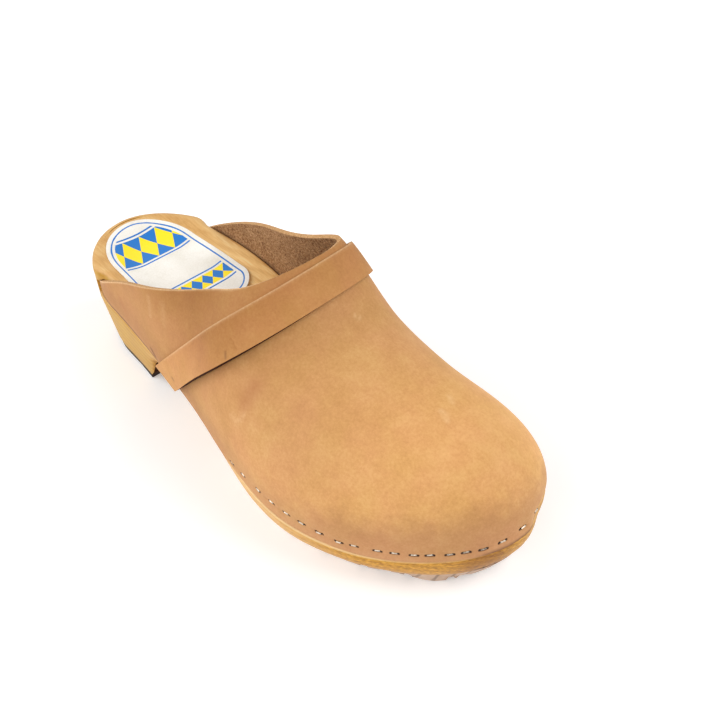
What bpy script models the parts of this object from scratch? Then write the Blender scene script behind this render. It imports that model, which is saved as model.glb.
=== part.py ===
"""Right leather clog: carved wood sole, rubber treads, one-piece leather upper, instep strap, heel label.

Lengths in the tables are millimetres. Along the shoe, x runs from the back of the heel to the toe tip,
+y is the inner (big toe) side and z is the height above the floor.
"""
from collections import namedtuple

import bmesh
import bpy
import numpy as np
from mathutils import Matrix, Vector

MM = 0.001

LENGTH = 255.0
HEEL_ARC = 36.7
TOE_ARC_INNER = 56.4
TOE_ARC_OUTER = 84.2
TOE_POWER_INNER = 2.30
TOE_POWER_OUTER = 2.14
TOE_TIP_SIDE = 5.1

# Half widths of the sole on each side and the height of the footbed's rim, along the length.
SoleRow = namedtuple("SoleRow", "along inner outer rim")
SOLE = [
    SoleRow(0.00, 29.6, 32.4, 47.7),
    SoleRow(0.13, 34.3, 32.6, 44.5),
    SoleRow(0.28, 35.9, 36.6, 41.7),
    SoleRow(0.42, 34.5, 41.1, 37.2),
    SoleRow(0.56, 39.5, 47.7, 33.1),
    SoleRow(0.70, 41.7, 51.5, 31.9),
    SoleRow(0.82, 42.4, 48.8, 31.6),
    SoleRow(1.00, 43.8, 42.1, 38.0),
]

# Underside of the wood in side view: heel seat, breast, arch, tread and toe spring, with its edge inset.
UnderRow = namedtuple("UnderRow", "x z inset")
UNDER = [
    UnderRow(0.0, 3.6, 2.9),
    UnderRow(61.4, 3.6, 2.9),
    UnderRow(64.2, 6.8, 3.0),
    UnderRow(67.0, 11.6, 3.3),
    UnderRow(69.8, 16.0, 4.0),
    UnderRow(73.0, 19.0, 5.4),
    UnderRow(78.0, 20.6, 7.5),
    UnderRow(84.0, 20.6, 9.0),
    UnderRow(94.0, 18.8, 9.5),
    UnderRow(106.0, 15.4, 9.0),
    UnderRow(120.0, 11.2, 7.0),
    UnderRow(134.0, 7.9, 5.0),
    UnderRow(148.0, 6.3, 4.0),
    UnderRow(162.0, 6.1, 3.5),
    UnderRow(184.0, 6.1, 3.5),
    UnderRow(208.0, 6.6, 3.5),
    UnderRow(232.0, 7.9, 3.5),
    UnderRow(255.0, 9.9, 3.5),
]
RABBET_DEEP = 14.7
RABBET_START = 17.0
LIP_PROUD = 1.2
DISH_HEEL = 4.0
DISH_TOE = 2.0

# Ridge of the upper over the instep and toe, and how square its arch is.
RidgeRow = namedtuple("RidgeRow", "along height side square")
RIDGE = [
    RidgeRow(0.10, 150.0, 4.0, 1.87),
    RidgeRow(0.30, 121.6, 4.8, 1.85),
    RidgeRow(0.47, 103.3, 6.0, 1.82),
    RidgeRow(0.55, 100.4, 8.2, 2.08),
    RidgeRow(0.65, 74.9, 3.3, 2.20),
    RidgeRow(0.75, 65.0, 2.1, 2.05),
    RidgeRow(0.88, 57.7, 2.4, 2.25),
    RidgeRow(1.00, 53.0, 2.4, 2.45),
]
FAN_START = 0.70
FAN_END = 0.88
BULGE_INNER = -0.3
BULGE_OUTER = 2.0
LEATHER = 2.0

# Height of the topline above the rim, from the quarter's rear end forward to the throat.
QUARTER_END = 0.090
THROAT = 0.5833
TOPLINE_RISE = (-7.7, 16.5, 38.0)

STRAP_FOOT = 84.6
STRAP_SLANT = 1.104
STRAP_FLARE = -0.026
STRAP_SKEW = -0.05
STRAP_WIDE = 13.8
STRAP_THICK = 1.9
STRAP_GAP = 0.65

LIFT_THICK = 3.2
TREAD_THICK = 5.8
TREAD_REAR = 121.0
TREAD_TAPER_BALL = 1.6
TREAD_TAPER_TOE = 3.6
FRONT_LUG_X = 237.0
FRONT_LUG_LONG = 7.0
FRONT_LUG_PROUD = 1.4
GROOVE_WIDE = 3.0
GROOVE_DEEP = 3.0
CROSS_GROOVES = 8
LONG_GROOVES = 5

LABEL_BACK = 4.8
LABEL_FRONT = 81.0
LABEL_ROUND = 24.0
LABEL_INSET_INNER = 13.3
LABEL_INSET_OUTER = 8.6
LABEL_CORNER = 11.0
LABEL_THICK = 0.5
GAP = 0.35


def blend(low, high, x):
    """Smooth step from 0 at low to 1 at high."""
    t = np.clip((x - low) / (high - low), 0.0, 1.0)
    return t * t * (3.0 - 2.0 * t)


def curve(stations, values, x):
    """Smooth curve through the values at the stations."""
    stations = np.asarray(stations, float)
    values = np.asarray(values, float)
    x = np.asarray(x, float)
    step = np.diff(stations)
    rise = np.diff(values) / step
    slope = np.empty_like(values)
    slope[0] = rise[0]
    slope[-1] = rise[-1]
    slope[1:-1] = (rise[:-1] * step[1:] + rise[1:] * step[:-1]) / (step[1:] + step[:-1])
    i = np.clip(np.searchsorted(stations, x, side="right") - 1, 0, len(stations) - 2)
    t = np.clip((x - stations[i]) / step[i], 0.0, 1.0)
    start = (2 * t**3 - 3 * t**2 + 1) * values[i] + (t**3 - 2 * t**2 + t) * step[i] * slope[i]
    return start + (3 * t**2 - 2 * t**3) * values[i + 1] + (t**3 - t**2) * step[i] * slope[i + 1]


def column(rows, name, x):
    """One named column of a table along the length, at x."""
    stations = [row.along * LENGTH for row in rows]
    return curve(stations, [getattr(row, name) for row in rows], x)


def under(name, x):
    """One named column of the underside's table, at x."""
    return np.interp(x, [row.x for row in UNDER], [getattr(row, name) for row in UNDER])


def outline(side, x):
    """Sole's edge seen from above: y at x on the inner (side 1) or outer (side -1) edge."""
    x = np.asarray(x, float)
    half = np.where(side > 0, column(SOLE, "inner", x), column(SOLE, "outer", x))
    heel = np.clip((HEEL_ARC - x) / HEEL_ARC, 0.0, 1.0)
    arc = np.where(side > 0, TOE_ARC_INNER, TOE_ARC_OUTER)
    power = np.where(side > 0, TOE_POWER_INNER, TOE_POWER_OUTER)
    toe = np.clip((x - LENGTH + arc) / arc, 0.0, 1.0)
    ends = np.sqrt(1.0 - heel**2) * (1.0 - toe**power) ** (1.0 / power)
    middle = TOE_TIP_SIDE * blend(0.55 * LENGTH, LENGTH, x)
    return middle + (side * half - middle) * ends


def outward(side, x):
    """Outward unit direction of the sole's edge at x, seen from above."""
    before = np.clip(x - 0.05, 0.001, LENGTH - 0.001)
    after = np.clip(x + 0.05, 0.001, LENGTH - 0.001)
    run = after - before
    rise = outline(side, after) - outline(side, before)
    long = np.hypot(run, rise)
    tip = np.where(x > LENGTH - 0.001, 1.0, np.where(x < 0.001, -1.0, 0.0))
    return np.where(tip == 0.0, -side * rise / long, tip), np.where(tip == 0.0, side * run / long, 0.0)


def rim(x):
    return column(SOLE, "rim", x)


def lip(x):
    return rim(x) - RABBET_DEEP


def spine(x):
    """Point of the ridge that the section from edge station x climbs to; sections fan out at the toe."""
    start = FAN_START * LENGTH
    end = FAN_END * LENGTH
    t = np.clip((x - start) / (LENGTH - start), 0.0, 1.0)
    fan = (t**3 - 2 * t**2 + t) * (LENGTH - start) + (3 * t**2 - 2 * t**3) * (end - start)
    return np.where(x < start, x, start + fan)


def shell(side, x, q):
    """Outer face of the upper: from the lip (q = 0) up the section at x to the ridge (q = 1)."""
    x, q = np.broadcast_arrays(np.asarray(x, float), np.asarray(q, float))
    out_x, out_y = outward(side, x)
    foot_x = x - out_x * LIP_PROUD
    foot_y = outline(side, x) - out_y * LIP_PROUD
    top_x = spine(x)
    top_z = column(RIDGE, "height", top_x)
    top_y = column(RIDGE, "side", top_x)
    power = 2.0 / column(RIDGE, "square", x)
    inward = 1.0 - np.cos(q * np.pi / 2) ** power
    up = np.sin(q * np.pi / 2) ** power
    full = np.where(side > 0, BULGE_INNER, BULGE_OUTER) * 4.0 * up * (1.0 - up)
    full = full * blend(0.15 * LENGTH, 0.35 * LENGTH, x) * (1.0 - blend(0.75 * LENGTH, 0.97 * LENGTH, x))
    slope = column(RIDGE, "height", top_x + 0.5) - column(RIDGE, "height", top_x - 0.5)
    slope = slope * blend(0.62 * LENGTH, 0.75 * LENGTH, x)
    at_x = foot_x + (top_x - foot_x) * inward
    foot_z = lip(x) - slope * (foot_x - top_x)
    at_z = foot_z + (top_z - foot_z) * up + slope * (at_x - top_x)
    at_y = foot_y + (top_y - foot_y) * inward
    return np.stack([at_x + out_x * full, at_y + out_y * full, at_z], -1)


def topline_share(x):
    """Share q of the section at x that the leather covers; 1 from the throat forward."""
    throat = THROAT * LENGTH
    rear = QUARTER_END * LENGTH
    knots = np.linspace(rear, throat, 4)
    heights = list(rim(knots[:3]) + np.array(TOPLINE_RISE))
    heights.append(float(column(RIDGE, "height", throat)))
    ridge = column(RIDGE, "height", x)
    share = np.clip((curve(knots, heights, x) - lip(x)) / (ridge - lip(x)), 0.0, 1.0)
    covered = np.arcsin(share ** (column(RIDGE, "square", x) / 2.0)) / (np.pi / 2)
    return np.where(x >= throat, 1.0, covered)


def share_at_height(side, x, z):
    """Share q at which the shell's section at x reaches the height z."""
    low = np.zeros_like(x)
    high = np.full_like(x, 0.8)
    for _ in range(40):
        half = (low + high) / 2
        below = shell(side, x, half)[..., 2] < z
        low = np.where(below, half, low)
        high = np.where(below, high, half)
    return half


def footbed(x, y):
    """Height of the dished footbed at a point inside the rim."""
    edge_x = np.concatenate([EDGE_X, EDGE_X])
    edge_y = np.concatenate([outline(-1, EDGE_X), outline(1, EDGE_X)])
    away = np.hypot(x[..., None] - edge_x, y[..., None] - edge_y).min(-1)
    depth = DISH_HEEL + (DISH_TOE - DISH_HEEL) * blend(90.0, 170.0, x)
    return rim(x) - depth * blend(4.0, 24.0, away)


def linear(code):
    """Linear colour of a hex sRGB code."""
    parts = [int(code[i:i + 2], 16) / 255 for i in (0, 2, 4)]
    return [p / 12.92 if p <= 0.04045 else ((p + 0.055) / 1.055) ** 2.4 for p in parts]


def material(name, code, roughness):
    made = bpy.data.materials.new(name)
    made.use_nodes = True
    shader = made.node_tree.nodes["Principled BSDF"]
    shader.inputs["Base Color"].default_value = (*linear(code), 1.0)
    shader.inputs["Roughness"].default_value = roughness
    shader.inputs["Metallic"].default_value = 0.0
    return made


def solid(name, points, faces, collection, look=None, smooth=True):
    """Mesh object from millimetre points and faces, its normals turned outward."""
    mesh = bpy.data.meshes.new(name)
    mesh.from_pydata([tuple(float(v) * MM for v in p) for p in points], [], faces)
    work = bmesh.new()
    work.from_mesh(mesh)
    bmesh.ops.remove_doubles(work, verts=work.verts, dist=0.00002)
    bmesh.ops.recalc_face_normals(work, faces=work.faces)
    work.to_mesh(mesh)
    work.free()
    mesh.polygons.foreach_set("use_smooth", [smooth] * len(mesh.polygons))
    made = bpy.data.objects.new(name, mesh)
    collection.objects.link(made)
    if look:
        mesh.materials.append(look)
    return made


def grid_faces(rows, columns, first=0, closed=False):
    """Quads of a grid of points counted row by row."""
    faces = []
    wide = columns if closed else columns - 1
    for r in range(rows - 1):
        for c in range(wide):
            n = (c + 1) % columns
            at = first + r * columns
            faces.append((at + c, at + n, at + columns + n, at + columns + c))
    return faces


def cap(ring, split, height):
    """Grid of chords that closes a ring; the ring runs up the outer edge and back down the inner edge."""
    half = len(ring) // 2
    across = np.linspace(0.0, 1.0, split + 1)
    rows = []
    for i in range(1, half):
        outer = np.asarray(ring[i])
        inner = np.asarray(ring[len(ring) - i])
        chord = outer + (inner - outer) * across[:, None]
        chord[1:-1, 2] = height(chord[1:-1, 0], chord[1:-1, 1])
        rows.append(chord)
    points = np.concatenate(rows)
    faces = grid_faces(len(rows), split + 1)
    heel = len(points)
    toe = heel + 1
    last = (len(rows) - 1) * (split + 1)
    for c in range(split):
        faces.append((heel, c, c + 1))
        faces.append((toe, last + c + 1, last + c))
    return np.concatenate([points, [ring[0], ring[half]]]), faces


def stack(rings):
    """Walls between closed rings of equal count, lowest first."""
    return np.concatenate(rings), grid_faces(len(rings), len(rings[0]), closed=True)


def join(pieces):
    """One list of points and faces from several."""
    points = []
    faces = []
    for some_points, some_faces in pieces:
        start = len(points)
        points.extend(some_points)
        faces.extend(tuple(start + i for i in face) for face in some_faces)
    return points, faces


for old in list(bpy.data.objects):
    bpy.data.objects.remove(old, do_unlink=True)

parts = bpy.data.collections.new("leather_clog")
cutters = bpy.data.collections.new("cutters")
bpy.context.scene.collection.children.link(parts)
bpy.context.scene.collection.children.link(cutters)

wood = material("wood", "D3A566", 0.50)
leather = material("leather", "DBA368", 0.72)
rubber = material("rubber", "7A6656", 0.85)
paper = material("paper", "F0EBE0", 0.60)

rear_x = QUARTER_END * LENGTH
throat_x = THROAT * LENGTH
QUARTER_X = rear_x + (throat_x - rear_x) * np.linspace(0.0, 1.0, 24) ** 1.2
TOE_X = throat_x + (LENGTH - throat_x) * np.sin(np.linspace(0.0, np.pi / 2, 26))
UPPER_X = np.concatenate([QUARTER_X, TOE_X[1:]])
HEEL_X = np.concatenate([HEEL_ARC * (1 - np.cos(np.linspace(0, 0.8, 5))), [14.0, 17.0, 19.0, 20.6, 22.0]])
BREAST_X = np.array([row.x for row in UNDER[1:6]])
EDGE_X = np.sort(np.concatenate([HEEL_X, BREAST_X, UPPER_X]))

# The sole is one block of wood. Its ring of stations runs up the outer edge and back down the inner edge.
ring_x = np.concatenate([EDGE_X, EDGE_X[-2:0:-1]])
ring_side = np.concatenate([np.full(len(EDGE_X), -1), np.full(len(EDGE_X) - 2, 1)])
ring_out = np.stack(outward(ring_side, ring_x), -1)
ring_edge = np.stack([ring_x, outline(ring_side, ring_x)], -1)
rabbet = blend(RABBET_START, rear_x - 0.5, ring_x)


def edge_ring(inset, z):
    """Ring at an inset from the sole's edge."""
    flat = ring_edge - ring_out * np.broadcast_to(inset, ring_x.shape)[:, None]
    return np.column_stack([flat, np.broadcast_to(z, ring_x.shape)])


def wall_ring(inset, z):
    """Ring on the rabbet's wall, which backs the leather; behind the quarters it is the sole's side."""
    share = share_at_height(ring_side, ring_x, np.maximum(z, lip(ring_x)))
    back = shell(ring_side, ring_x, share)[:, :2] - ring_out * (LEATHER + GAP + inset)[:, None]
    flat = ring_edge - ring_out * inset[:, None]
    return np.column_stack([flat + (back - flat) * rabbet[:, None], z])


bottom_z = under("z", ring_x)
bottom_inset = under("inset", ring_x)
lip_z = lip(ring_x) - GAP
lip_in = 1.8 * blend(64.0, 90.0, ring_x) * (1.0 - blend(130.0, 165.0, ring_x))
heel_side = 1.0 - blend(62.0, 74.0, ring_x)
none = np.zeros_like(ring_x)
sole_rings = [
    edge_ring(bottom_inset, bottom_z),
    edge_ring(lip_in + (bottom_inset - lip_in) * (0.28 + 0.34 * heel_side), bottom_z * 0.62 + lip_z * 0.38),
    edge_ring(lip_in, lip_z - 1.4),
    edge_ring(lip_in + 0.35, lip_z),
    wall_ring(none, lip_z + 2.3 * (1.0 - rabbet)),
    wall_ring(none, (lip_z + rim(ring_x)) / 2),
    wall_ring(none, rim(ring_x) - 2.0),
    wall_ring(none + 0.6, rim(ring_x) - 0.6),
    wall_ring(none + 2.0, rim(ring_x)),
]
footbed_cap = cap(sole_rings[-1], 8, footbed)
under_cap = cap(sole_rings[0], 4, lambda x, y: under("z", x))
solid("wood_sole", *join([stack(sole_rings), footbed_cap, under_cap]), parts, wood)

# Rubber heel lift: a flat D under the heel seat, up to the breast.
lift_keep = ring_x <= UNDER[1].x + 0.01
lift_points = []
for z, inset in ((0.0, 1.6), (LIFT_THICK, 0.4)):
    lift_flat = ring_edge - ring_out * (bottom_inset + inset)[:, None]
    lift_outer = lift_flat[lift_keep & (ring_side < 0)]
    lift_inner = lift_flat[lift_keep & (ring_side > 0)]
    lift_loop = np.concatenate([lift_outer, lift_inner])
    lift_points.extend((x, y, z) for x, y in lift_loop)
lift_count = len(lift_loop)
lift_faces = grid_faces(2, lift_count, closed=True)
lift_faces.append(tuple(range(lift_count)))
lift_faces.append(tuple(range(lift_count, 2 * lift_count)))
heel_lift = solid("tread_heel", lift_points, lift_faces, parts, rubber, smooth=False)

# Rubber forefoot tread: a sheet that follows the sole's underside, cut by grooves into lugs. Its edge slopes
# in, so that the wood hides most of it, and the lugs under the front of the toe reach a little lower.
tread_x = np.concatenate([[TREAD_REAR], EDGE_X[EDGE_X > TREAD_REAR + 3.0]])


def tread_edge(side, extra):
    """Edge of the tread at an extra inset from the wood's lower edge."""
    out = np.stack(outward(side, tread_x), -1)
    inset = under("inset", tread_x) + 0.5 + extra
    return np.stack([tread_x, outline(side, tread_x)], -1) - out * inset[:, None]


def front_lug(x):
    return np.exp(-((x - FRONT_LUG_X) / FRONT_LUG_LONG) ** 2)


def tread_bottom(x):
    """Height of the lugs' ground faces; the tread thins toward the arch."""
    thick = TREAD_THICK - 2.2 * (1.0 - blend(TREAD_REAR, 150.0, x)) + FRONT_LUG_PROUD * front_lug(x)
    return np.maximum(under("z", x) - GAP - thick, 0.0)


tread_taper = TREAD_TAPER_BALL + (TREAD_TAPER_TOE - TREAD_TAPER_BALL) * blend(205.0, 228.0, tread_x)
tread_tops = [tread_edge(side, 0.0) for side in (-1, 1)]
tread_feet = [tread_edge(-1, tread_taper - FRONT_LUG_PROUD * front_lug(tread_x)), tread_edge(1, tread_taper)]
tread_rows = []
for i in range(len(tread_x)):
    for x, y in (tread_tops[0][i], tread_tops[1][i]):
        tread_rows.append((x, y, under("z", x) - GAP))
    for x, y in (tread_feet[1][i], tread_feet[0][i]):
        tread_rows.append((x, y, tread_bottom(x)))
tread_faces = grid_faces(len(tread_x), 4, closed=True)
tread_faces.append((0, 1, 2, 3))
tread_last = 4 * (len(tread_x) - 1)
tread_faces.append((tread_last, tread_last + 3, tread_last + 2, tread_last + 1))
tread = solid("tread_forefoot", tread_rows, tread_faces, parts, rubber, smooth=False)


def groove_box(x_range, y_range, z_range):
    corners = [(x, y, z) for x in x_range for y in y_range for z in z_range]
    faces = [(0, 1, 3, 2), (4, 6, 7, 5), (0, 4, 5, 1), (2, 3, 7, 6), (0, 2, 6, 4), (1, 5, 7, 3)]
    return corners, faces


cross_boxes = []
for at in np.linspace(TREAD_REAR + 14.0, LENGTH - 14.0, CROSS_GROOVES):
    top = float(tread_bottom(at)) + GROOVE_DEEP
    cross_boxes.append(groove_box((at - GROOVE_WIDE / 2, at + GROOVE_WIDE / 2), (-80, 80), (top - 12, top)))
cross_cutter = solid("cross_grooves", *join(cross_boxes), cutters, smooth=False)
long_boxes = []
for at in np.linspace(-32.0, 28.0, LONG_GROOVES):
    stations = np.linspace(TREAD_REAR + 4.0, LENGTH + 4.0, 30)
    rows = []
    for x in stations:
        top = float(tread_bottom(x)) + GROOVE_DEEP
        for y, z in ((-0.5, 0.0), (0.5, 0.0), (0.5, -12.0), (-0.5, -12.0)):
            rows.append((x, at + y * GROOVE_WIDE, top + z))
    faces = grid_faces(len(stations), 4, closed=True)
    faces.append((0, 1, 2, 3))
    last = 4 * (len(stations) - 1)
    faces.append((last, last + 3, last + 2, last + 1))
    long_boxes.append((rows, faces))
long_cutter = solid("long_grooves", *join(long_boxes), cutters, smooth=False)
for cutter in (cross_cutter, long_cutter):
    cutter.hide_render = True
    cutter.display_type = "WIRE"
    cut = tread.modifiers.new(cutter.name, "BOOLEAN")
    cut.operation = "DIFFERENCE"
    cut.solver = "EXACT"
    cut.object = cutter

# The upper is one sheet of leather lasted over the foot; Solidify gives it its wall, inward.
rows_up = np.linspace(0.0, 1.0, 13)
back = np.clip((throat_x - UPPER_X) / (throat_x - rear_x), 0.0, 1.0)
crest_x = np.where(UPPER_X < throat_x, throat_x - (throat_x - rear_x) * back**2, UPPER_X)
sheets = []
for side in (-1, 1):
    x = UPPER_X[:, None] + (crest_x - UPPER_X)[:, None] * rows_up**1.4
    q = topline_share(crest_x)[:, None] * rows_up
    face = shell(side, x, q)
    sheets.append((face.reshape(-1, 3), grid_faces(len(UPPER_X), len(rows_up))))
upper = solid("upper", *join(sheets), parts, leather)
wall = upper.modifiers.new("wall", "SOLIDIFY")
wall.thickness = LEATHER * MM
wall.offset = -1.0
wall.use_even_offset = True
wall.use_quality_normals = True

# The strap is cut from the upper's own outer face between two slanted planes and lies just off it.
climb = np.concatenate([np.linspace(0.0, 1.0, 17), np.linspace(1.0, 0.0, 17)[1:]])
strap_side = np.concatenate([np.full(17, -1), np.full(16, 1)])


def strap_line(share):
    """Line across the instep at a share of the strap's width, on the outer face and lifted off it."""
    foot = STRAP_FOOT + share * STRAP_WIDE * np.sqrt(1.0 + STRAP_SLANT**2)
    slant = STRAP_SLANT + share * STRAP_FLARE
    x = foot + slant * 40.0 * climb
    for _ in range(40):
        at = shell(strap_side, x, climb)
        x = x + 0.5 * (foot + slant * (at[:, 2] - 30.0) + STRAP_SKEW * at[:, 1] - x)
    at = shell(strap_side, x, climb)
    along = shell(strap_side, x + 0.3, climb) - shell(strap_side, x - 0.3, climb)
    step = np.where(climb < 0.98, 0.01, -0.01)
    rise = (shell(strap_side, x, climb + step) - at) * np.sign(step)[:, None]
    lift = np.cross(along, rise) * -strap_side[:, None]
    return at + lift / np.linalg.norm(lift, axis=1)[:, None] * STRAP_GAP


strap_rows = np.concatenate([strap_line(share) for share in np.linspace(0.0, 1.0, 4)])
strap = solid("strap", strap_rows, grid_faces(4, len(climb)), parts, leather)
body = strap.modifiers.new("wall", "SOLIDIFY")
body.thickness = STRAP_THICK * MM
body.offset = 1.0
body.use_even_offset = True
body.use_quality_normals = True

# The label is a thin card laid in the heel of the footbed.
turn = np.linspace(0.0, 1.0, 12)
label_x = np.concatenate([
    LABEL_BACK + LABEL_ROUND * (1.0 - np.cos(turn * np.pi / 2)),
    np.linspace(LABEL_BACK + LABEL_ROUND, LABEL_FRONT - LABEL_CORNER, 7)[1:],
    LABEL_FRONT - LABEL_CORNER * (1.0 - np.sin(turn[1:] * np.pi / 2)),
])
label_end = np.sqrt(1.0 - np.clip((LABEL_BACK + LABEL_ROUND - label_x) / LABEL_ROUND, 0.0, 1.0) ** 2)
corner = np.clip((label_x - LABEL_FRONT + LABEL_CORNER) / LABEL_CORNER, 0.0, 1.0)
corner_in = LABEL_CORNER * (1.0 - np.sqrt(1.0 - corner**2))
label_rows = []
for x, end, cut_in in zip(label_x, label_end, corner_in):
    inner = (column(SOLE, "inner", x) - LABEL_INSET_INNER) * max(end, 0.02) - cut_in
    outer = -(column(SOLE, "outer", x) - LABEL_INSET_OUTER) * max(end, 0.02) + cut_in
    y = np.linspace(outer, inner, 7)
    label_rows.append(np.column_stack([np.full(7, x), y, footbed(np.full(7, x), y) + GAP]))
label = solid("label", np.concatenate(label_rows), grid_faces(len(label_rows), 7), parts, paper)
card = label.modifiers.new("card", "SOLIDIFY")
card.thickness = LABEL_THICK * MM
card.offset = 1.0

# Turn the open sheets so that their outer faces look out, then put the whole over the middle of its floor.
for sheet, inside in ((upper, (150.0, 0.0, 30.0)), (strap, (120.0, 0.0, 40.0)), (label, (50.0, 0.0, 0.0))):
    face = sheet.data.polygons[len(sheet.data.polygons) // 3]
    if face.normal.dot(face.center - Vector(inside) * MM) < 0.0:
        sheet.data.flip_normals()

graph = bpy.context.evaluated_depsgraph_get()
low = np.full(3, 1e9)
high = np.full(3, -1e9)
for made in parts.objects:
    corners = np.array(made.evaluated_get(graph).bound_box)
    low = np.minimum(low, corners.min(0))
    high = np.maximum(high, corners.max(0))
shift = Matrix.Translation((-(low[0] + high[0]) / 2, -(low[1] + high[1]) / 2, -low[2]))
for made in list(parts.objects) + list(cutters.objects):
    made.data.transform(shift)
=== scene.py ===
from collections import namedtuple

import bmesh
import bpy
import numpy as np
from mathutils import Matrix, Vector


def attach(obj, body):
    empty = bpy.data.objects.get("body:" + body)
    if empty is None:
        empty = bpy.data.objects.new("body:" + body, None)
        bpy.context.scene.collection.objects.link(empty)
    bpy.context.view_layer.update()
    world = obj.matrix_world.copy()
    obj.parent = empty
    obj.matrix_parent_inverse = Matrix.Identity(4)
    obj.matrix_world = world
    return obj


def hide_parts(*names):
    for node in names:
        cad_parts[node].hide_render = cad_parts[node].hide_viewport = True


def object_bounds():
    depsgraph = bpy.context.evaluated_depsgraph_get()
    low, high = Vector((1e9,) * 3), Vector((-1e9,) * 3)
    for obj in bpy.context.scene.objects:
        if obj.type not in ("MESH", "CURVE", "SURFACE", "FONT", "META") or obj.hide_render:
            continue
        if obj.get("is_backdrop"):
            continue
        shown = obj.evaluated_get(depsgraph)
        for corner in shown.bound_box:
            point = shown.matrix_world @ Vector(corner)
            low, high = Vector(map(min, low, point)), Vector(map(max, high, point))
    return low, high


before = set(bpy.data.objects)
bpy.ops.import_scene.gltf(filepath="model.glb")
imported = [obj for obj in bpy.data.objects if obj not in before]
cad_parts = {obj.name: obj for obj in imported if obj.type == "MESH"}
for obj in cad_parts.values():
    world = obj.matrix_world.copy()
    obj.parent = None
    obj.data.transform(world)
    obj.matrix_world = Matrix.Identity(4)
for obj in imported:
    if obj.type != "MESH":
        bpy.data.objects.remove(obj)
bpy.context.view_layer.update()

# Wood sole. One block of alder, carved to a round block heel, an arch and a sprung toe, its footbed dished.
# A rabbet is milled round its side for the leather, and leaves a lip below; the whole is sanded and
# lacquered thinly. Tables are in millimetres: x from the back of the heel to the toe, y to the inner side.
MM = 0.001
LENGTH = 255.0
MIDLINE = 4.594
HEEL_ARC = 36.7
TOE_ARC_INNER = 56.4
TOE_ARC_OUTER = 84.2
TOE_POWER_INNER = 2.30
TOE_POWER_OUTER = 2.14
TOE_TIP_SIDE = 5.1

SoleRow = namedtuple("SoleRow", "along inner outer rim")
SOLE = [
    SoleRow(0.00, 29.6, 32.4, 47.7),
    SoleRow(0.13, 34.3, 32.6, 44.5),
    SoleRow(0.28, 35.9, 36.6, 41.7),
    SoleRow(0.42, 34.5, 41.1, 37.2),
    SoleRow(0.56, 39.5, 47.7, 33.1),
    SoleRow(0.70, 41.7, 51.5, 31.9),
    SoleRow(0.82, 42.4, 48.8, 31.6),
    SoleRow(1.00, 43.8, 42.1, 38.0),
]

UnderRow = namedtuple("UnderRow", "x z inset")
UNDER = [
    UnderRow(0.0, 3.6, 2.9),
    UnderRow(61.4, 3.6, 2.9),
    UnderRow(64.2, 6.8, 3.0),
    UnderRow(67.0, 11.6, 3.3),
    UnderRow(69.8, 16.0, 4.0),
    UnderRow(73.0, 19.0, 5.4),
    UnderRow(78.0, 20.6, 7.5),
    UnderRow(84.0, 20.6, 9.0),
    UnderRow(94.0, 18.8, 9.5),
    UnderRow(106.0, 15.4, 9.0),
    UnderRow(120.0, 11.2, 7.0),
    UnderRow(134.0, 7.9, 5.0),
    UnderRow(148.0, 6.3, 4.0),
    UnderRow(162.0, 6.1, 3.5),
    UnderRow(184.0, 6.1, 3.5),
    UnderRow(208.0, 6.6, 3.5),
    UnderRow(232.0, 7.9, 3.5),
    UnderRow(255.0, 9.9, 3.5),
]
RABBET_DEEP = 14.7
RABBET_START = 20.6
LIP_PROUD = 1.2
LEATHER_THICK = 2.0
GAP = 0.35
DISH_HEEL = 4.0
DISH_TOE = 2.0
TOPLINE_RISE = (-7.7, 16.5, 38.0)

RidgeRow = namedtuple("RidgeRow", "along height side square")
RIDGE = [
    RidgeRow(0.10, 150.0, 4.0, 1.87),
    RidgeRow(0.30, 121.6, 4.8, 1.85),
    RidgeRow(0.47, 103.3, 6.0, 1.82),
    RidgeRow(0.55, 100.4, 8.2, 2.08),
    RidgeRow(0.65, 74.9, 3.3, 2.20),
    RidgeRow(0.75, 65.0, 2.1, 2.05),
    RidgeRow(0.88, 57.7, 2.4, 2.25),
    RidgeRow(1.00, 53.0, 2.4, 2.45),
]
FAN_START = 0.70
FAN_END = 0.88
BULGE_INNER = -0.3
BULGE_OUTER = 2.0
QUARTER_END = 0.090
THROAT = 0.5833


def blend(low, high, x):
    """Smooth step from 0 at low to 1 at high."""
    t = np.clip((x - low) / (high - low), 0.0, 1.0)
    return t * t * (3.0 - 2.0 * t)


def curve(stations, values, x):
    """Smooth curve through the values at the stations."""
    stations = np.asarray(stations, float)
    values = np.asarray(values, float)
    x = np.asarray(x, float)
    step = np.diff(stations)
    rise = np.diff(values) / step
    slope = np.empty_like(values)
    slope[0] = rise[0]
    slope[-1] = rise[-1]
    slope[1:-1] = (rise[:-1] * step[1:] + rise[1:] * step[:-1]) / (step[1:] + step[:-1])
    i = np.clip(np.searchsorted(stations, x, side="right") - 1, 0, len(stations) - 2)
    t = np.clip((x - stations[i]) / step[i], 0.0, 1.0)
    start = (2 * t**3 - 3 * t**2 + 1) * values[i] + (t**3 - 2 * t**2 + t) * step[i] * slope[i]
    return start + (3 * t**2 - 2 * t**3) * values[i + 1] + (t**3 - t**2) * step[i] * slope[i + 1]


def column(rows, name, x):
    """One named column of a table along the length, at x."""
    stations = [row.along * LENGTH for row in rows]
    return curve(stations, [getattr(row, name) for row in rows], x)


def under(name, x):
    """One named column of the underside's table, at x."""
    return np.interp(x, [row.x for row in UNDER], [getattr(row, name) for row in UNDER])


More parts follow.
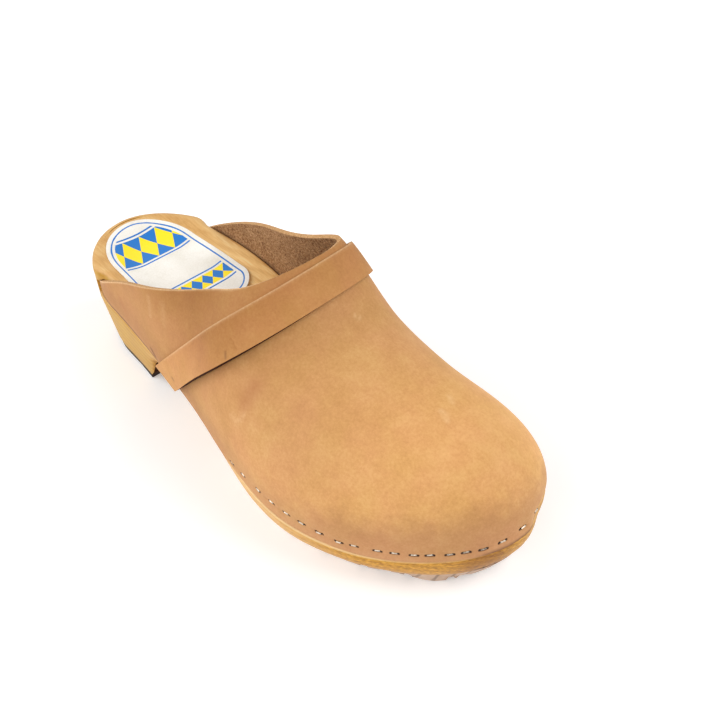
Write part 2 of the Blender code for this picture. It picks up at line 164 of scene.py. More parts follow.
def outline(side, x):
    """Sole's edge seen from above: y at x on the inner (side 1) or outer (side -1) edge."""
    x = np.asarray(x, float)
    half = np.where(side > 0, column(SOLE, "inner", x), column(SOLE, "outer", x))
    heel = np.clip((HEEL_ARC - x) / HEEL_ARC, 0.0, 1.0)
    arc = np.where(side > 0, TOE_ARC_INNER, TOE_ARC_OUTER)
    power = np.where(side > 0, TOE_POWER_INNER, TOE_POWER_OUTER)
    toe = np.clip((x - LENGTH + arc) / arc, 0.0, 1.0)
    ends = np.sqrt(1.0 - heel**2) * (1.0 - toe**power) ** (1.0 / power)
    middle = TOE_TIP_SIDE * blend(0.55 * LENGTH, LENGTH, x)
    return middle + (side * half - middle) * ends


def outward(side, x):
    """Outward unit direction of the sole's edge at x, seen from above."""
    before = np.clip(x - 0.05, 0.001, LENGTH - 0.001)
    after = np.clip(x + 0.05, 0.001, LENGTH - 0.001)
    run = after - before
    rise = outline(side, after) - outline(side, before)
    long = np.hypot(run, rise)
    tip = np.where(x > LENGTH - 0.001, 1.0, np.where(x < 0.001, -1.0, 0.0))
    return np.where(tip == 0.0, -side * rise / long, tip), np.where(tip == 0.0, side * run / long, 0.0)


def rim(x):
    return column(SOLE, "rim", x)


def lip(x):
    return rim(x) - RABBET_DEEP


def spine(x):
    """Point of the ridge that the section from edge station x climbs to; sections fan out at the toe."""
    start = FAN_START * LENGTH
    end = FAN_END * LENGTH
    t = np.clip((x - start) / (LENGTH - start), 0.0, 1.0)
    fan = (t**3 - 2 * t**2 + t) * (LENGTH - start) + (3 * t**2 - 2 * t**3) * (end - start)
    return np.where(x < start, x, start + fan)


def shell(side, x, q):
    """Outer face of the leather: from the lip (q = 0) up the section at x to the ridge (q = 1)."""
    x, q = np.broadcast_arrays(np.asarray(x, float), np.asarray(q, float))
    out_x, out_y = outward(side, x)
    foot_x = x - out_x * LIP_PROUD
    foot_y = outline(side, x) - out_y * LIP_PROUD
    top_x = spine(x)
    top_z = column(RIDGE, "height", top_x)
    top_y = column(RIDGE, "side", top_x)
    power = 2.0 / column(RIDGE, "square", x)
    inward = 1.0 - np.cos(q * np.pi / 2) ** power
    up = np.sin(q * np.pi / 2) ** power
    full = np.where(side > 0, BULGE_INNER, BULGE_OUTER) * 4.0 * up * (1.0 - up)
    full = full * blend(0.15 * LENGTH, 0.35 * LENGTH, x) * (1.0 - blend(0.75 * LENGTH, 0.97 * LENGTH, x))
    slope = column(RIDGE, "height", top_x + 0.5) - column(RIDGE, "height", top_x - 0.5)
    slope = slope * blend(0.62 * LENGTH, 0.75 * LENGTH, x)
    at_x = foot_x + (top_x - foot_x) * inward
    foot_z = lip(x) - slope * (foot_x - top_x)
    at_z = foot_z + (top_z - foot_z) * up + slope * (at_x - top_x)
    at_y = foot_y + (top_y - foot_y) * inward
    return np.stack([at_x + out_x * full, at_y + out_y * full, at_z], -1)


def share_at_height(side, x, z):
    """Share q at which the shell's section at x reaches the height z."""
    low = np.zeros_like(x)
    high = np.full_like(x, 0.8)
    for _ in range(30):
        half = (low + high) / 2
        below = shell(side, x, half)[..., 2] < z
        low = np.where(below, half, low)
        high = np.where(below, high, half)
    return half


def placed(points):
    """Millimetre points along the shoe as metres in the object's frame."""
    return (np.asarray(points, float) + (-LENGTH / 2, MIDLINE, 0.0)) * MM


def grid_faces(rows, columns, closed=False):
    """Quads of a grid of points counted row by row."""
    faces = []
    wide = columns if closed else columns - 1
    for r in range(rows - 1):
        for c in range(wide):
            n = (c + 1) % columns
            faces.append((r * columns + c, r * columns + n, (r + 1) * columns + n, (r + 1) * columns + c))
    return faces


def join(pieces):
    """One list of points and faces from several."""
    points = []
    faces = []
    for some_points, some_faces in pieces:
        start = len(points)
        points.extend(some_points)
        faces.extend(tuple(start + i for i in face) for face in some_faces)
    return points, faces


def stand(name, data):
    """New object in the scene."""
    made = bpy.data.objects.new(name, data)
    bpy.context.scene.collection.objects.link(made)
    return made


def smooth(mesh, sharp):
    """Shade a mesh smooth but for edges that turn by more than an angle in degrees."""
    mesh.shade_smooth()
    mesh.set_sharp_from_angle(angle=np.radians(sharp))


def piece(name, points, faces, looks, marks=()):
    """Smooth-shaded mesh object from millimetre points, its doubles merged and its normals outward."""
    mesh = bpy.data.meshes.new(name)
    mesh.from_pydata([tuple(p) for p in placed(points)], [], faces)
    for mark, values in dict(marks).items():
        layer = mesh.attributes.new(mark, "FLOAT", "POINT")
        layer.data.foreach_set("value", np.asarray(values, np.float32).ravel())
    work = bmesh.new()
    work.from_mesh(mesh)
    bmesh.ops.remove_doubles(work, verts=work.verts, dist=0.01 * MM)
    bmesh.ops.recalc_face_normals(work, faces=work.faces)
    work.to_mesh(mesh)
    work.free()
    smooth(mesh, 40.0)
    for look in looks:
        mesh.materials.append(look)
    return stand(name, mesh)


def linear(code):
    """Linear colour of a hex sRGB code."""
    parts = [int(code[i:i + 2], 16) / 255 for i in (0, 2, 4)]
    return (*[p / 12.92 if p <= 0.04045 else ((p + 0.055) / 1.055) ** 2.4 for p in parts], 1.0)


def feed(tree, node, inputs):
    """Feed a node's inputs with values, sockets, or other nodes' first live outputs."""
    for name, value in dict(inputs).items():
        if isinstance(value, bpy.types.Node):
            value = next(socket for socket in value.outputs if socket.enabled)
        if isinstance(value, bpy.types.NodeSocket):
            tree.links.new(value, node.inputs[name])
        else:
            node.inputs[name].default_value = value


def put(tree, kind, inputs=(), stops=(), **settings):
    """Add a node, set it up and feed its inputs; stops are a colour ramp's places and hex colours."""
    made = tree.nodes.new(kind)
    for name, value in settings.items():
        setattr(made, name, value)
    feed(tree, made, inputs)
    for i, (place, code) in enumerate(stops):
        mark = made.color_ramp.elements[i] if i < 2 else made.color_ramp.elements.new(place)
        mark.position = place
        mark.color = linear(code)
    return made


def surface(name, **fixed):
    """New material with a Principled shader whose constant sockets are set here."""
    made = bpy.data.materials.new(name)
    made.use_nodes = True
    shader = made.node_tree.nodes["Principled BSDF"]
    for socket, value in fixed.items():
        shader.inputs[socket.replace("_", " ")].default_value = value
    return made, made.node_tree, shader


def per(size):
    """Texture scale at which one unit of a pattern is a size in millimetres."""
    return 1 / (size * MM)


# Alder under a thin satin lacquer: pale honey with fine darker fibres along the shoe and faint growth rings.
# The end grain at the toe and at the back of the heel soaks up more lacquer, so it is golden and deeper, most
# in one patch of the toe. The lip's top edge has a pale painted highlight, and the footbed ahead of the heel,
# where the upper shades it, is painted lighter.
# Fibres and pores are drawn coarser than they are, so that they show.
RING_SPACING = 3.4
RING_SWAY = 62.5
RING_BEND = (0.0, 12.0, 12.0)
PITH = (0.0, 30.0, 120.0)
FIBRE_LONG = 22.0
FIBRE_WIDE = 0.8
CLOUD = 22.0
PORE_WIDE = 1.5
PORE_HIGH = 0.5
PATCH_SIDE = -7.0

# A fade takes a value's stretch from start to end over to a share from low to high. Places in it are in
# metres from the object's origin, as Object coordinates give them.
Fade = namedtuple("Fade", "name value start end low high")
wood, tree, shader = surface("lacquered_alder", IOR=1.5, Specular_IOR_Level=0.25, Coat_Weight=0.05,
                             Coat_Roughness=0.30)
coords = put(tree, "ShaderNodeTexCoord").outputs
at = coords["Object"]
sway = put(tree, "ShaderNodeTexNoise", {"Vector": at, "Scale": per(RING_SWAY), "Detail": 1.0})
bent = put(tree, "ShaderNodeVectorMath", {0: sway.outputs["Color"], 1: Vector(RING_BEND) * MM},
           operation="MULTIPLY")
moved = put(tree, "ShaderNodeVectorMath", {0: at, 1: bent}, operation="ADD")
pith = put(tree, "ShaderNodeMapping", {"Vector": moved, "Location": Vector(PITH) * MM})
growth = put(tree, "ShaderNodeTexWave",
             {"Vector": pith, "Scale": np.pi / 10 * per(RING_SPACING), "Distortion": 0.8, "Detail": 2.0,
              "Detail Scale": 1.5},
             wave_type="RINGS", rings_direction="X", wave_profile="SIN").outputs["Fac"]
fine = put(tree, "ShaderNodeMapping",
           {"Vector": at, "Scale": (per(FIBRE_LONG), per(FIBRE_WIDE), per(FIBRE_WIDE))})
fibre = put(tree, "ShaderNodeTexNoise", {"Vector": fine, "Scale": 1.0, "Detail": 4.0, "Roughness": 0.65})
cloud = put(tree, "ShaderNodeTexNoise", {"Vector": at, "Scale": per(CLOUD), "Detail": 2.0})
flat = put(tree, "ShaderNodeMapping",
           {"Vector": at, "Scale": (per(PORE_WIDE), per(PORE_WIDE), per(PORE_HIGH))})
pores = put(tree, "ShaderNodeTexNoise", {"Vector": flat, "Scale": 1.0, "Detail": 3.0})
grain = 0.0
for pattern, weight in ((growth, 0.14), (fibre, 0.64), (cloud, 0.20)):
    grain = put(tree, "ShaderNodeMath", {0: pattern, 1: weight, 2: grain}, operation="MULTIPLY_ADD")
soak = 0.0
for pattern, weight in ((pores, 0.90), (growth, 0.10)):
    soak = put(tree, "ShaderNodeMath", {0: pattern, 1: weight, 2: soak}, operation="MULTIPLY_ADD")
tone = put(tree, "ShaderNodeValToRGB", {"Fac": grain},
           [(0.28, "C28F50"), (0.50, "D5A666"), (0.75, "E4BF84")])
end_tone = put(tree, "ShaderNodeValToRGB", {"Fac": soak},
               [(0.30, "9C661C"), (0.50, "C28929"), (0.70, "DEA53F")])
facing = put(tree, "ShaderNodeSeparateXYZ", {0: coords["Normal"]}).outputs
spot = put(tree, "ShaderNodeSeparateXYZ", {0: at}).outputs
aside = put(tree, "ShaderNodeMath", {0: spot["Y"], 1: PATCH_SIDE * MM}, operation="SUBTRACT")
aside = put(tree, "ShaderNodeMath", {0: aside}, operation="ABSOLUTE")
faded = {}
for fade in (
    Fade("upright", facing["Z"], 0.75, 0.35, 0.0, 1.0),
    Fade("level", facing["Z"], 0.70, 0.90, 0.0, 1.0),
    Fade("upward", facing["Z"], 0.15, 0.65, 0.0, 1.0),
    Fade("toe", facing["X"], 0.05, 0.42, 0.0, 1.0),
    Fade("heel", facing["X"], -0.25, -0.90, 0.0, 1.0),
    Fade("patch", aside, 0.0120, 0.0040, 0.0, 1.0),
    Fade("heelward", spot["X"], -0.035, -0.065, 0.0, 1.0),
    Fade("ahead of heel", spot["X"], -0.092, -0.066, 0.0, 1.0),
    Fade("behind toe", spot["X"], 0.112, 0.070, 0.25, 0.8),
    Fade("above lip", spot["Z"], 0.028, 0.032, 0.0, 1.0),
    Fade("at lip", spot["Z"], 0.0265, 0.0245, 0.0, 1.0),
    Fade("gloss", fibre, 0.0, 1.0, 0.38, 0.56),
):
    faded[fade.name] = put(tree, "ShaderNodeMapRange",
                           {"Value": fade.value, "From Min": fade.start, "From Max": fade.end,
                            "To Min": fade.low, "To Max": fade.high})
toe_end = put(tree, "ShaderNodeMath", {0: faded["toe"], 1: faded["upright"]}, operation="MULTIPLY")
ends = put(tree, "ShaderNodeMath", {0: toe_end, 1: faded["heel"]}, operation="MAXIMUM")
tone = put(tree, "ShaderNodeMix", {"Factor": ends, 6: tone, 7: end_tone}, data_type="RGBA")
for parts, how, tint in (
    (("patch", "toe", "upright"), "MULTIPLY", (0.66, 0.56, 0.36, 1.0)),
    (("upright", "heelward"), "MULTIPLY", (0.78, 0.74, 0.32, 1.0)),
    # Painted light: the level footbed ahead of the heel is lightened where the upper shades it.
    (("level", "ahead of heel", "above lip"), "MULTIPLY", (1.45, 1.60, 1.80, 1.0)),
    # Painted highlight: the lip's upward-facing edge behind the toe is mixed to a pale tone.
    (("upward", "at lip", "behind toe"), "MIX", linear("F0CF98")),
):
    share = 1.0
    for part in parts:
        share = put(tree, "ShaderNodeMath", {0: share, 1: faded[part]}, operation="MULTIPLY")
    tone = put(tree, "ShaderNodeMix", {"Factor": share, 6: tone, 7: tint},
               data_type="RGBA", blend_type=how)
bump = put(tree, "ShaderNodeBump", {"Height": fibre, "Strength": 0.15, "Distance": 0.0003})
feed(tree, shader, {"Base Color": tone, "Roughness": faded["gloss"], "Normal": bump})

# Alder at the sawn heel breast and the arch's roof above it, coloured dark brown as painted shade of the
# hollow under the arch: dull, with the saw's faint lines across it.
SAW_LINE = 1.2
SAW_LONG = 14.0
breast_shade_wood, tree, shader = surface("sawn_alder_painted_shade", IOR=1.5, Roughness=0.95, Specular_IOR_Level=0.05)
at = put(tree, "ShaderNodeTexCoord").outputs["Object"]
lines = put(tree, "ShaderNodeMapping", {"Vector": at, "Scale": (per(SAW_LINE), per(SAW_LONG), per(SAW_LINE))})
sawn = put(tree, "ShaderNodeTexNoise", {"Vector": lines, "Scale": 1.0, "Detail": 3.0})
brown = put(tree, "ShaderNodeValToRGB", {"Fac": sawn}, [(0.35, "221007"), (0.65, "4A2A16")])
bump = put(tree, "ShaderNodeBump", {"Height": sawn, "Strength": 0.3, "Distance": 0.0003})
feed(tree, shader, {"Base Color": brown, "Normal": bump})

# Stations along the sole's edge, closer together where it turns, and the ring round it that they make.
BREAST = 61.4
ARCH = 84.0
rear_x = QUARTER_END * LENGTH
throat_x = THROAT * LENGTH
heel_x = HEEL_ARC * (1.0 - np.cos(np.linspace(0.0, 0.9, 26)))
rear_heel_x = np.linspace(heel_x[-1], RABBET_START, 8)[1:]
run_out_x = np.linspace(RABBET_START, rear_x, 9)[1:]
waist_x = np.concatenate([np.linspace(rear_x, BREAST, 20)[1:], np.linspace(BREAST, ARCH, 34)[1:]])
shank_x = np.linspace(ARCH, throat_x, 34)[1:]
toe_x = throat_x + (LENGTH - throat_x) * np.sin(np.linspace(0.0, np.pi / 2, 64))
EDGE_X = np.concatenate([heel_x, rear_heel_x, run_out_x, waist_x, shank_x, toe_x[1:]])

ring_x = np.concatenate([EDGE_X, EDGE_X[-2:0:-1]])
ring_side = np.concatenate([np.full(len(EDGE_X), -1), np.full(len(EDGE_X) - 2, 1)])
ring_out = np.stack(outward(ring_side, ring_x), -1)
ring_edge = np.stack([ring_x, outline(ring_side, ring_x)], -1)
rabbet = blend(RABBET_START, rear_x - 0.4, ring_x)


def edge_ring(inset, z):
    """Ring at an inset from the sole's edge."""
    flat = ring_edge - ring_out * np.broadcast_to(inset, ring_x.shape)[:, None]
    return np.column_stack([flat, np.broadcast_to(z, ring_x.shape)])


def topline_height(x):
    """Height of the leather's top edge behind the throat."""
    knots = np.linspace(rear_x, throat_x, 4)
    heights = list(rim(knots[:3]) + np.array(TOPLINE_RISE))
    heights.append(float(column(RIDGE, "height", throat_x)))
    return curve(knots, heights, np.clip(x, rear_x, throat_x))


def wall_ring(inset, z, milled):
    """Ring on the rabbet's wall, which backs the leather; where nothing is milled it is the sole's side."""
    share = share_at_height(ring_side, ring_x, np.maximum(z, lip(ring_x)))
    inset = np.broadcast_to(inset, ring_x.shape)
    back = shell(ring_side, ring_x, share)[:, :2] - ring_out * (LEATHER_THICK + GAP + inset)[:, None]
    flat = ring_edge - ring_out * inset[:, None]
    return np.column_stack([flat + (back - flat) * milled[:, None], z])


def footbed(x, y):
    """Height of the dished footbed at a point inside the rim."""
    edge_x = np.concatenate([EDGE_X, EDGE_X])
    edge_y = np.concatenate([outline(-1, EDGE_X), outline(1, EDGE_X)])
    away = np.hypot(x[..., None] - edge_x, y[..., None] - edge_y).min(-1)
    depth = DISH_HEEL + (DISH_TOE - DISH_HEEL) * blend(90.0, 170.0, x)
    return rim(x) - depth * blend(4.0, 24.0, away)


def cap(ring, split, height):
    """Grid of chords that closes a ring; the ring runs up the outer edge and back down the inner edge."""
    half = len(ring) // 2
    across = np.linspace(0.0, 1.0, split + 1)[:, None]
    rows = []
    for i in range(1, half):
        chord = ring[i] + (ring[len(ring) - i] - ring[i]) * across
        chord[1:-1, 2] = height(chord[1:-1, 0], chord[1:-1, 1])
        rows.append(chord)
    faces = grid_faces(len(rows), split + 1)
    heel = len(rows) * (split + 1)
    last = heel - split - 1
    for c in range(split):
        faces.append((heel, c, c + 1))
        faces.append((heel + 1, last + c + 1, last + c))
    return np.concatenate(rows + [ring[:1], ring[half:half + 1]]), faces


TOE_TUCK = 0.6
TOE_UNDERCUT = 0.7
LIP_DRAWN = 0.8
LIP_LOW = 0.45
HEEL_ROUND = 0.9
CORNER_TUCK = 2.4
CORNER_SIDE = 19.5
CORNER_REACH = 8.5


def toe_tuck(side, x):
    """How far the sole's side is carved in round the toe, most of all at the corner by the big toe."""
    corner = np.exp(-(((outline(1, x) - CORNER_SIDE) / CORNER_REACH) ** 2)) * blend(215.0, 235.0, x)
    inner = TOE_TUCK * blend(165.0, 205.0, x) + CORNER_TUCK * corner
    return np.where(side > 0, inner, TOE_TUCK * blend(243.0, LENGTH, x))


# Rings up the side, from the tread's edge over the lip and the rabbet to the rim, with small steps that round
# each edge over. Every fade along x is in millimetres from the back of the heel.
bottom_z = under("z", ring_x)
bottom_in = under("inset", ring_x)
lip_z = lip(ring_x) - GAP
lip_in = blend(rear_x, 34.0, ring_x) + LIP_DRAWN * blend(64.0, 90.0, ring_x)
lip_in = lip_in * (1.0 - blend(130.0, 165.0, ring_x))
tuck = toe_tuck(ring_side, ring_x)
corner_in = tuck - TOE_TUCK * blend(0.0, TOE_TUCK, tuck)
lip_in = lip_in + tuck
bottom_in = bottom_in + 0.5 * tuck + TOE_UNDERCUT * blend(0.0, TOE_TUCK, tuck)
lip_z = lip_z - LIP_LOW * rabbet * (1.0 - blend(56.0, 76.0, ring_x))
heel_side = 1.0 - blend(62.0, 74.0, ring_x)
round_over = 1.0 + HEEL_ROUND * (1.0 - blend(34.0, 58.0, ring_x))
rings = [edge_ring(bottom_in + 0.7, bottom_z), edge_ring(bottom_in + 0.15, bottom_z + 0.15)]
for t in (0.05, 0.15, 0.30, 0.50, 0.75, 1.0):
    taper = (1.0 - t) ** (1.0 + 1.2 * (1.0 - heel_side))
    rings.append(edge_ring(lip_in + (bottom_in - lip_in) * taper, bottom_z + (lip_z - 1.1 - bottom_z) * t))
rings.append(edge_ring(lip_in + 0.06, lip_z - 0.55))
rings.append(edge_ring(lip_in + 0.28 * rabbet, lip_z - 0.16))
rings.append(edge_ring(lip_in + 0.62 * rabbet, lip_z + 0.2 * (1.0 - rabbet)))
rings.append(wall_ring(corner_in - 0.5 * rabbet, lip_z + 1.0 * (1.0 - rabbet), rabbet))
rings.append(wall_ring(corner_in, lip_z + 0.5 * rabbet + 2.3 * (1.0 - rabbet), rabbet))
seat_z = np.minimum(topline_height(ring_x) + 0.5, rim(ring_x) - 3.4)
bare = blend(-1.0, 5.0, rim(ring_x) - 3.0 - topline_height(ring_x))
above_seat = rabbet * (1.0 - bare)
rings.append(wall_ring(0.5 * corner_in, (lip_z + seat_z) / 2, rabbet))
rings.append(wall_ring(0.0, seat_z - 0.25, rabbet))
rings.append(wall_ring(0.15 * bare, seat_z + 0.1, above_seat))
for inset, drop in ((0.0, 1.6), (0.16, 0.9), (0.5, 0.4), (1.1, 0.1), (1.9, 0.0)):
    rings.append(wall_ring(inset * round_over, rim(ring_x) - drop * round_over, above_seat))
side_walls = (np.concatenate(rings), grid_faces(len(rings), len(ring_x), closed=True))
caps = [cap(rings[-1], 28, footbed), cap(rings[0], 10, lambda x, y: under("z", x))]
sole = piece("carved_sole", *join([side_walls] + caps), [wood, breast_shade_wood])
# Faces of the heel breast and the arch's roof that look forward and down get the dark painted shade.
BREAST_WAY = Vector((0.8, 0.0, -0.6))
breast_low = placed((60.5, 0.0, 0.0))
breast_high = placed((82.5, 0.0, 24.0))
for face in sole.data.polygons:
    in_breast = breast_low[0] < face.center.x < breast_high[0] and face.center.z < breast_high[2]
    if in_breast and face.normal.dot(BREAST_WAY) > 0.75:
        face.material_index = 1
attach(sole, "root")
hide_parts("wood_sole")

# Rubber treads. A moulded lift is nailed and glued under the heel, and a tread cut into lugs under the
# forefoot. Both are the solid's own shape, with the moulded edges eased and the sides trimmed a little.
TREAD_EASE = 0.35
TREAD_TUCK = 1.8
TREAD_TIP_SHORT = 0.4
TREAD_CORNER_SHORT = 1.7
TREAD_CORNER_TUCK = 1.0
TREAD_CORNER_REACH = 9.5
LIFT_SPREAD = 0.9
LIFT_SHORT = 2.0
SIPE_SPACING = 4.4
SIPE_WIDE = 0.9
SIPE_SOFT = 0.2
MOTTLE = 6.0
SPECK = 0.5


# Moulded rubber, matte from the mould's blasted steel: faintly mottled, with specks drawn coarser than they
# are, so that they show, and with narrow sipes across the front lug drawn as dark lines: painted shade of
# cuts that the mesh does not have.
def moulded_rubber(name, dark, pale, sipe_shade):
    """Rubber mottled between two tones, with painted shade of sipes, of the given strength, at the toe."""
    made, tree, shader = surface(name, IOR=1.52, Roughness=0.82)
    at = put(tree, "ShaderNodeTexCoord").outputs["Object"]
    mottle = put(tree, "ShaderNodeTexNoise", {"Vector": at, "Scale": per(MOTTLE), "Detail": 3.0})
    speck = put(tree, "ShaderNodeTexNoise", {"Vector": at, "Scale": per(SPECK), "Detail": 2.0})
    shade = put(tree, "ShaderNodeValToRGB", {"Fac": mottle}, [(0.3, dark), (0.7, pale)])
    spot = put(tree, "ShaderNodeSeparateXYZ", {0: at}).outputs
    # Painted shade: dark lines where the sipes would be, across the front lug.
    gap = put(tree, "ShaderNodeMath", {0: spot["Y"], 1: SIPE_SPACING / 2 * MM}, operation="PINGPONG")
    gap = put(tree, "ShaderNodeMapRange",
              {"Value": gap, "From Min": (SIPE_WIDE / 2 + SIPE_SOFT) * MM,
               "From Max": (SIPE_WIDE / 2 - SIPE_SOFT) * MM, "To Max": sipe_shade})
    toe = put(tree, "ShaderNodeMapRange", {"Value": spot["X"], "From Min": 0.092, "From Max": 0.098})
    gap = put(tree, "ShaderNodeMath", {0: gap, 1: toe}, operation="MULTIPLY")
    shade = put(tree, "ShaderNodeMix", {"Factor": gap, 6: shade, 7: linear("4A3426")}, data_type="RGBA")
    bump = put(tree, "ShaderNodeBump", {"Height": speck, "Strength": 0.2, "Distance": 0.0002})
    feed(tree, shader, {"Base Color": shade, "Normal": bump})
    return made


heel_rubber = moulded_rubber("moulded_brown_rubber", "2E1D15", "432F26", 0.0)
tread_rubber = moulded_rubber("moulded_tan_rubber", "B5967E", "D2B7A2", 0.5)


def ease(made, width, sharp):
    """Round over an object's edges that turn by more than an angle in degrees."""
    rounded = made.modifiers.new("eased", "BEVEL")
    rounded.width = width * MM
    rounded.segments = 2
    rounded.limit_method = "ANGLE"
    rounded.angle_limit = np.radians(sharp)


def eased_copy(node, name, look):
    """Copy of a solid with its edges rounded over."""
    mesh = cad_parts[node].data.copy()
    work = bmesh.new()
    work.from_mesh(mesh)
    bmesh.ops.remove_doubles(work, verts=work.verts, dist=0.01 * MM)
    bmesh.ops.dissolve_limit(work, angle_limit=np.radians(1.0), verts=work.verts, edges=work.edges)
    work.to_mesh(mesh)
    work.free()
    mesh.materials.clear()
    mesh.materials.append(look)
    made = stand(name, mesh)
    ease(made, TREAD_EASE, 35.0)
    return made


TREADS = [("tread_heel", "heel_lift", heel_rubber), ("tread_forefoot", "lugged_tread", tread_rubber)]
for node, name, look in TREADS:
    tread = eased_copy(node, name, look)
    for corner in tread.data.vertices:
        x = corner.co.x / MM + LENGTH / 2
        if node == "tread_heel":
            low = blend(3.0, 0.0, corner.co.z / MM) * blend(0.0, -15.0, corner.co.y / MM)
            corner.co.y -= float(LIFT_SPREAD * MM * low)
            corner.co.x -= float(LIFT_SHORT * MM * blend(51.5, 59.5, x))
        else:
            outer = blend(0.0, -30.0, corner.co.y / MM) * blend(122.0, 150.0, x)
            corner.co.y += float(TREAD_TUCK * MM * outer * (1.0 - blend(198.0, 226.0, x)))
            y = corner.co.y / MM - MIDLINE
            big_toe = np.exp(-(((y - CORNER_SIDE) / TREAD_CORNER_REACH) ** 2)) * blend(215.0, 240.0, x)
            shorter = TREAD_TIP_SHORT * blend(235.0, 252.0, x) + TREAD_CORNER_SHORT * big_toe
            corner.co.x -= float(shorter * MM)
            corner.co.y -= float(TREAD_CORNER_TUCK * big_toe * MM)
    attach(tread, "root")
    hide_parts(node)

# Heel label. A die-cut card with rounded corners, glued into the dish of the heel and printed in blue and
# yellow with two harlequin bands inside a fine border. Its front inner corner has come unstuck a little.
LABEL_BACK = 5.4
LABEL_FRONT = 81.0
LABEL_ROUND = 24.0
LABEL_INSET_INNER = 13.3
LABEL_INSET_OUTER = 10.2
LABEL_CORNER = 11.0
LABEL_THICK = 0.5
LABEL_SEAT = 0.05
LABEL_LIFT = 0.9
LABEL_LEAST = 0.02
BORDER_IN = 2.4
BORDER_WIDE = 0.7
BAND_CLEAR = 1.6
LINE_CLEAR = 1.5
LINE_WIDE = 0.9
PRINT_BLUE = "1274C6"
PRINT_YELLOW = "FFE312"

HarlequinBand = namedtuple("HarlequinBand", "x long wide tip field")
BANDS = [HarlequinBand(24.0, 17.0, 9.2, PRINT_BLUE, PRINT_YELLOW),
         HarlequinBand(63.0, 8.5, 6.0, PRINT_YELLOW, PRINT_BLUE)]

# Coated card, printed flat: slightly creamy white with soft soiling, clean ink edges and a low sheen. It
# glows a little in its own print colours, painted light that makes it lighter than the light on it, most of
# all at the front, where the upper shades it.
# The paper's tooth is drawn coarser than it is, so that it shows.
TOOTH = 0.7
SOIL = 14.0
card, tree, shader = surface("printed_card", IOR=1.5, Roughness=0.48, Coat_Weight=0.06,
                             Emission_Strength=0.10)
at = put(tree, "ShaderNodeTexCoord").outputs["Object"]
tooth = put(tree, "ShaderNodeTexNoise", {"Vector": at, "Scale": per(TOOTH), "Detail": 3.0})
soil = put(tree, "ShaderNodeTexNoise", {"Vector": at, "Scale": per(SOIL), "Detail": 4.0})
shade = put(tree, "ShaderNodeMath", {0: tooth, 1: 0.35}, operation="MULTIPLY")
shade = put(tree, "ShaderNodeMath", {0: soil, 1: 0.65, 2: shade}, operation="MULTIPLY_ADD")
printed = put(tree, "ShaderNodeValToRGB", {"Fac": shade}, [(0.35, "E4DED1"), (0.65, "F7F3EB")])
along = put(tree, "ShaderNodeSeparateXYZ", {0: at}).outputs["X"]
edge = put(tree, "ShaderNodeAttribute", attribute_name="edge").outputs["Fac"]
inside = put(tree, "ShaderNodeMath", {0: edge, 1: BORDER_IN + BAND_CLEAR}, operation="GREATER_THAN")
border = put(tree, "ShaderNodeMath", {0: edge, 1: BORDER_IN, 2: BORDER_WIDE / 2}, operation="COMPARE")
printed = put(tree, "ShaderNodeMix", {"Factor": border, 6: printed, 7: linear(PRINT_BLUE)}, data_type="RGBA")
for band in BANDS:
    middle = float(placed((band.x, 0.0, 0.0))[0])
    shrink = np.array([per(band.long), per(band.wide)]) * np.sqrt(2)
    turned = np.array([[1.0, -1.0], [1.0, 1.0]]) / np.sqrt(2) @ (shrink * (middle, MIDLINE * MM))
    lattice = put(tree, "ShaderNodeMapping",
                  {"Vector": at, "Scale": (*shrink, 0.0), "Rotation": (0.0, 0.0, np.pi / 4),
                   "Location": (0.5 - turned[0], 0.5 - turned[1], 0.5)})
    check = put(tree, "ShaderNodeTexChecker",
                {"Vector": lattice, "Scale": 1.0, "Color1": linear(band.tip), "Color2": linear(band.field)})
    line = band.long / 2 + LINE_CLEAR
    for off, wide, ink in ((0.0, band.long, check), (-line, LINE_WIDE, linear(PRINT_BLUE)),
                           (line, LINE_WIDE, linear(PRINT_BLUE))):
        mask = put(tree, "ShaderNodeMath", {0: along, 1: middle + off * MM, 2: wide / 2 * MM},
                   operation="COMPARE")
        mask = put(tree, "ShaderNodeMath", {0: mask, 1: inside}, operation="MULTIPLY")
        printed = put(tree, "ShaderNodeMix", {"Factor": mask, 6: printed, 7: ink}, data_type="RGBA")
# Painted light: the card glows in its own print colours, more toward the front, where the upper shades it.
painted_light_share = put(tree, "ShaderNodeMapRange",
            {"Value": along, "From Min": -0.105, "From Max": -0.060, "To Min": 0.3})
painted_glow = put(tree, "ShaderNodeVectorMath", {0: printed, "Scale": painted_light_share}, operation="SCALE")
bump = put(tree, "ShaderNodeBump", {"Height": soil, "Strength": 0.4, "Distance": 0.0008})
feed(tree, shader, {"Base Color": printed, "Emission Color": painted_glow, "Normal": bump})

turn = np.linspace(0.0, 1.0, 22)
label_x = np.concatenate([
    LABEL_BACK + LABEL_ROUND * (1.0 - np.cos(turn * np.pi / 2)),
    np.linspace(LABEL_BACK + LABEL_ROUND, LABEL_FRONT - LABEL_CORNER, 30)[1:],
    LABEL_FRONT - LABEL_CORNER * (1.0 - np.sin(turn[1:] * np.pi / 2)),
])
label_end = np.sqrt(1.0 - np.clip((LABEL_BACK + LABEL_ROUND - label_x) / LABEL_ROUND, 0.0, 1.0) ** 2)
label_end = np.maximum(label_end, LABEL_LEAST)
corner = np.clip((label_x - LABEL_FRONT + LABEL_CORNER) / LABEL_CORNER, 0.0, 1.0)
corner_in = LABEL_CORNER * (1.0 - np.sqrt(1.0 - corner**2))
inner = (column(SOLE, "inner", label_x) - LABEL_INSET_INNER) * label_end - corner_in
outer = corner_in - (column(SOLE, "outer", label_x) - LABEL_INSET_OUTER) * label_end
across = np.linspace(0.0, 1.0, 41)
label_y = outer[:, None] + (inner - outer)[:, None] * (1.0 - np.cos(across * np.pi)) / 2
label_grid = np.broadcast_to(label_x[:, None], label_y.shape)
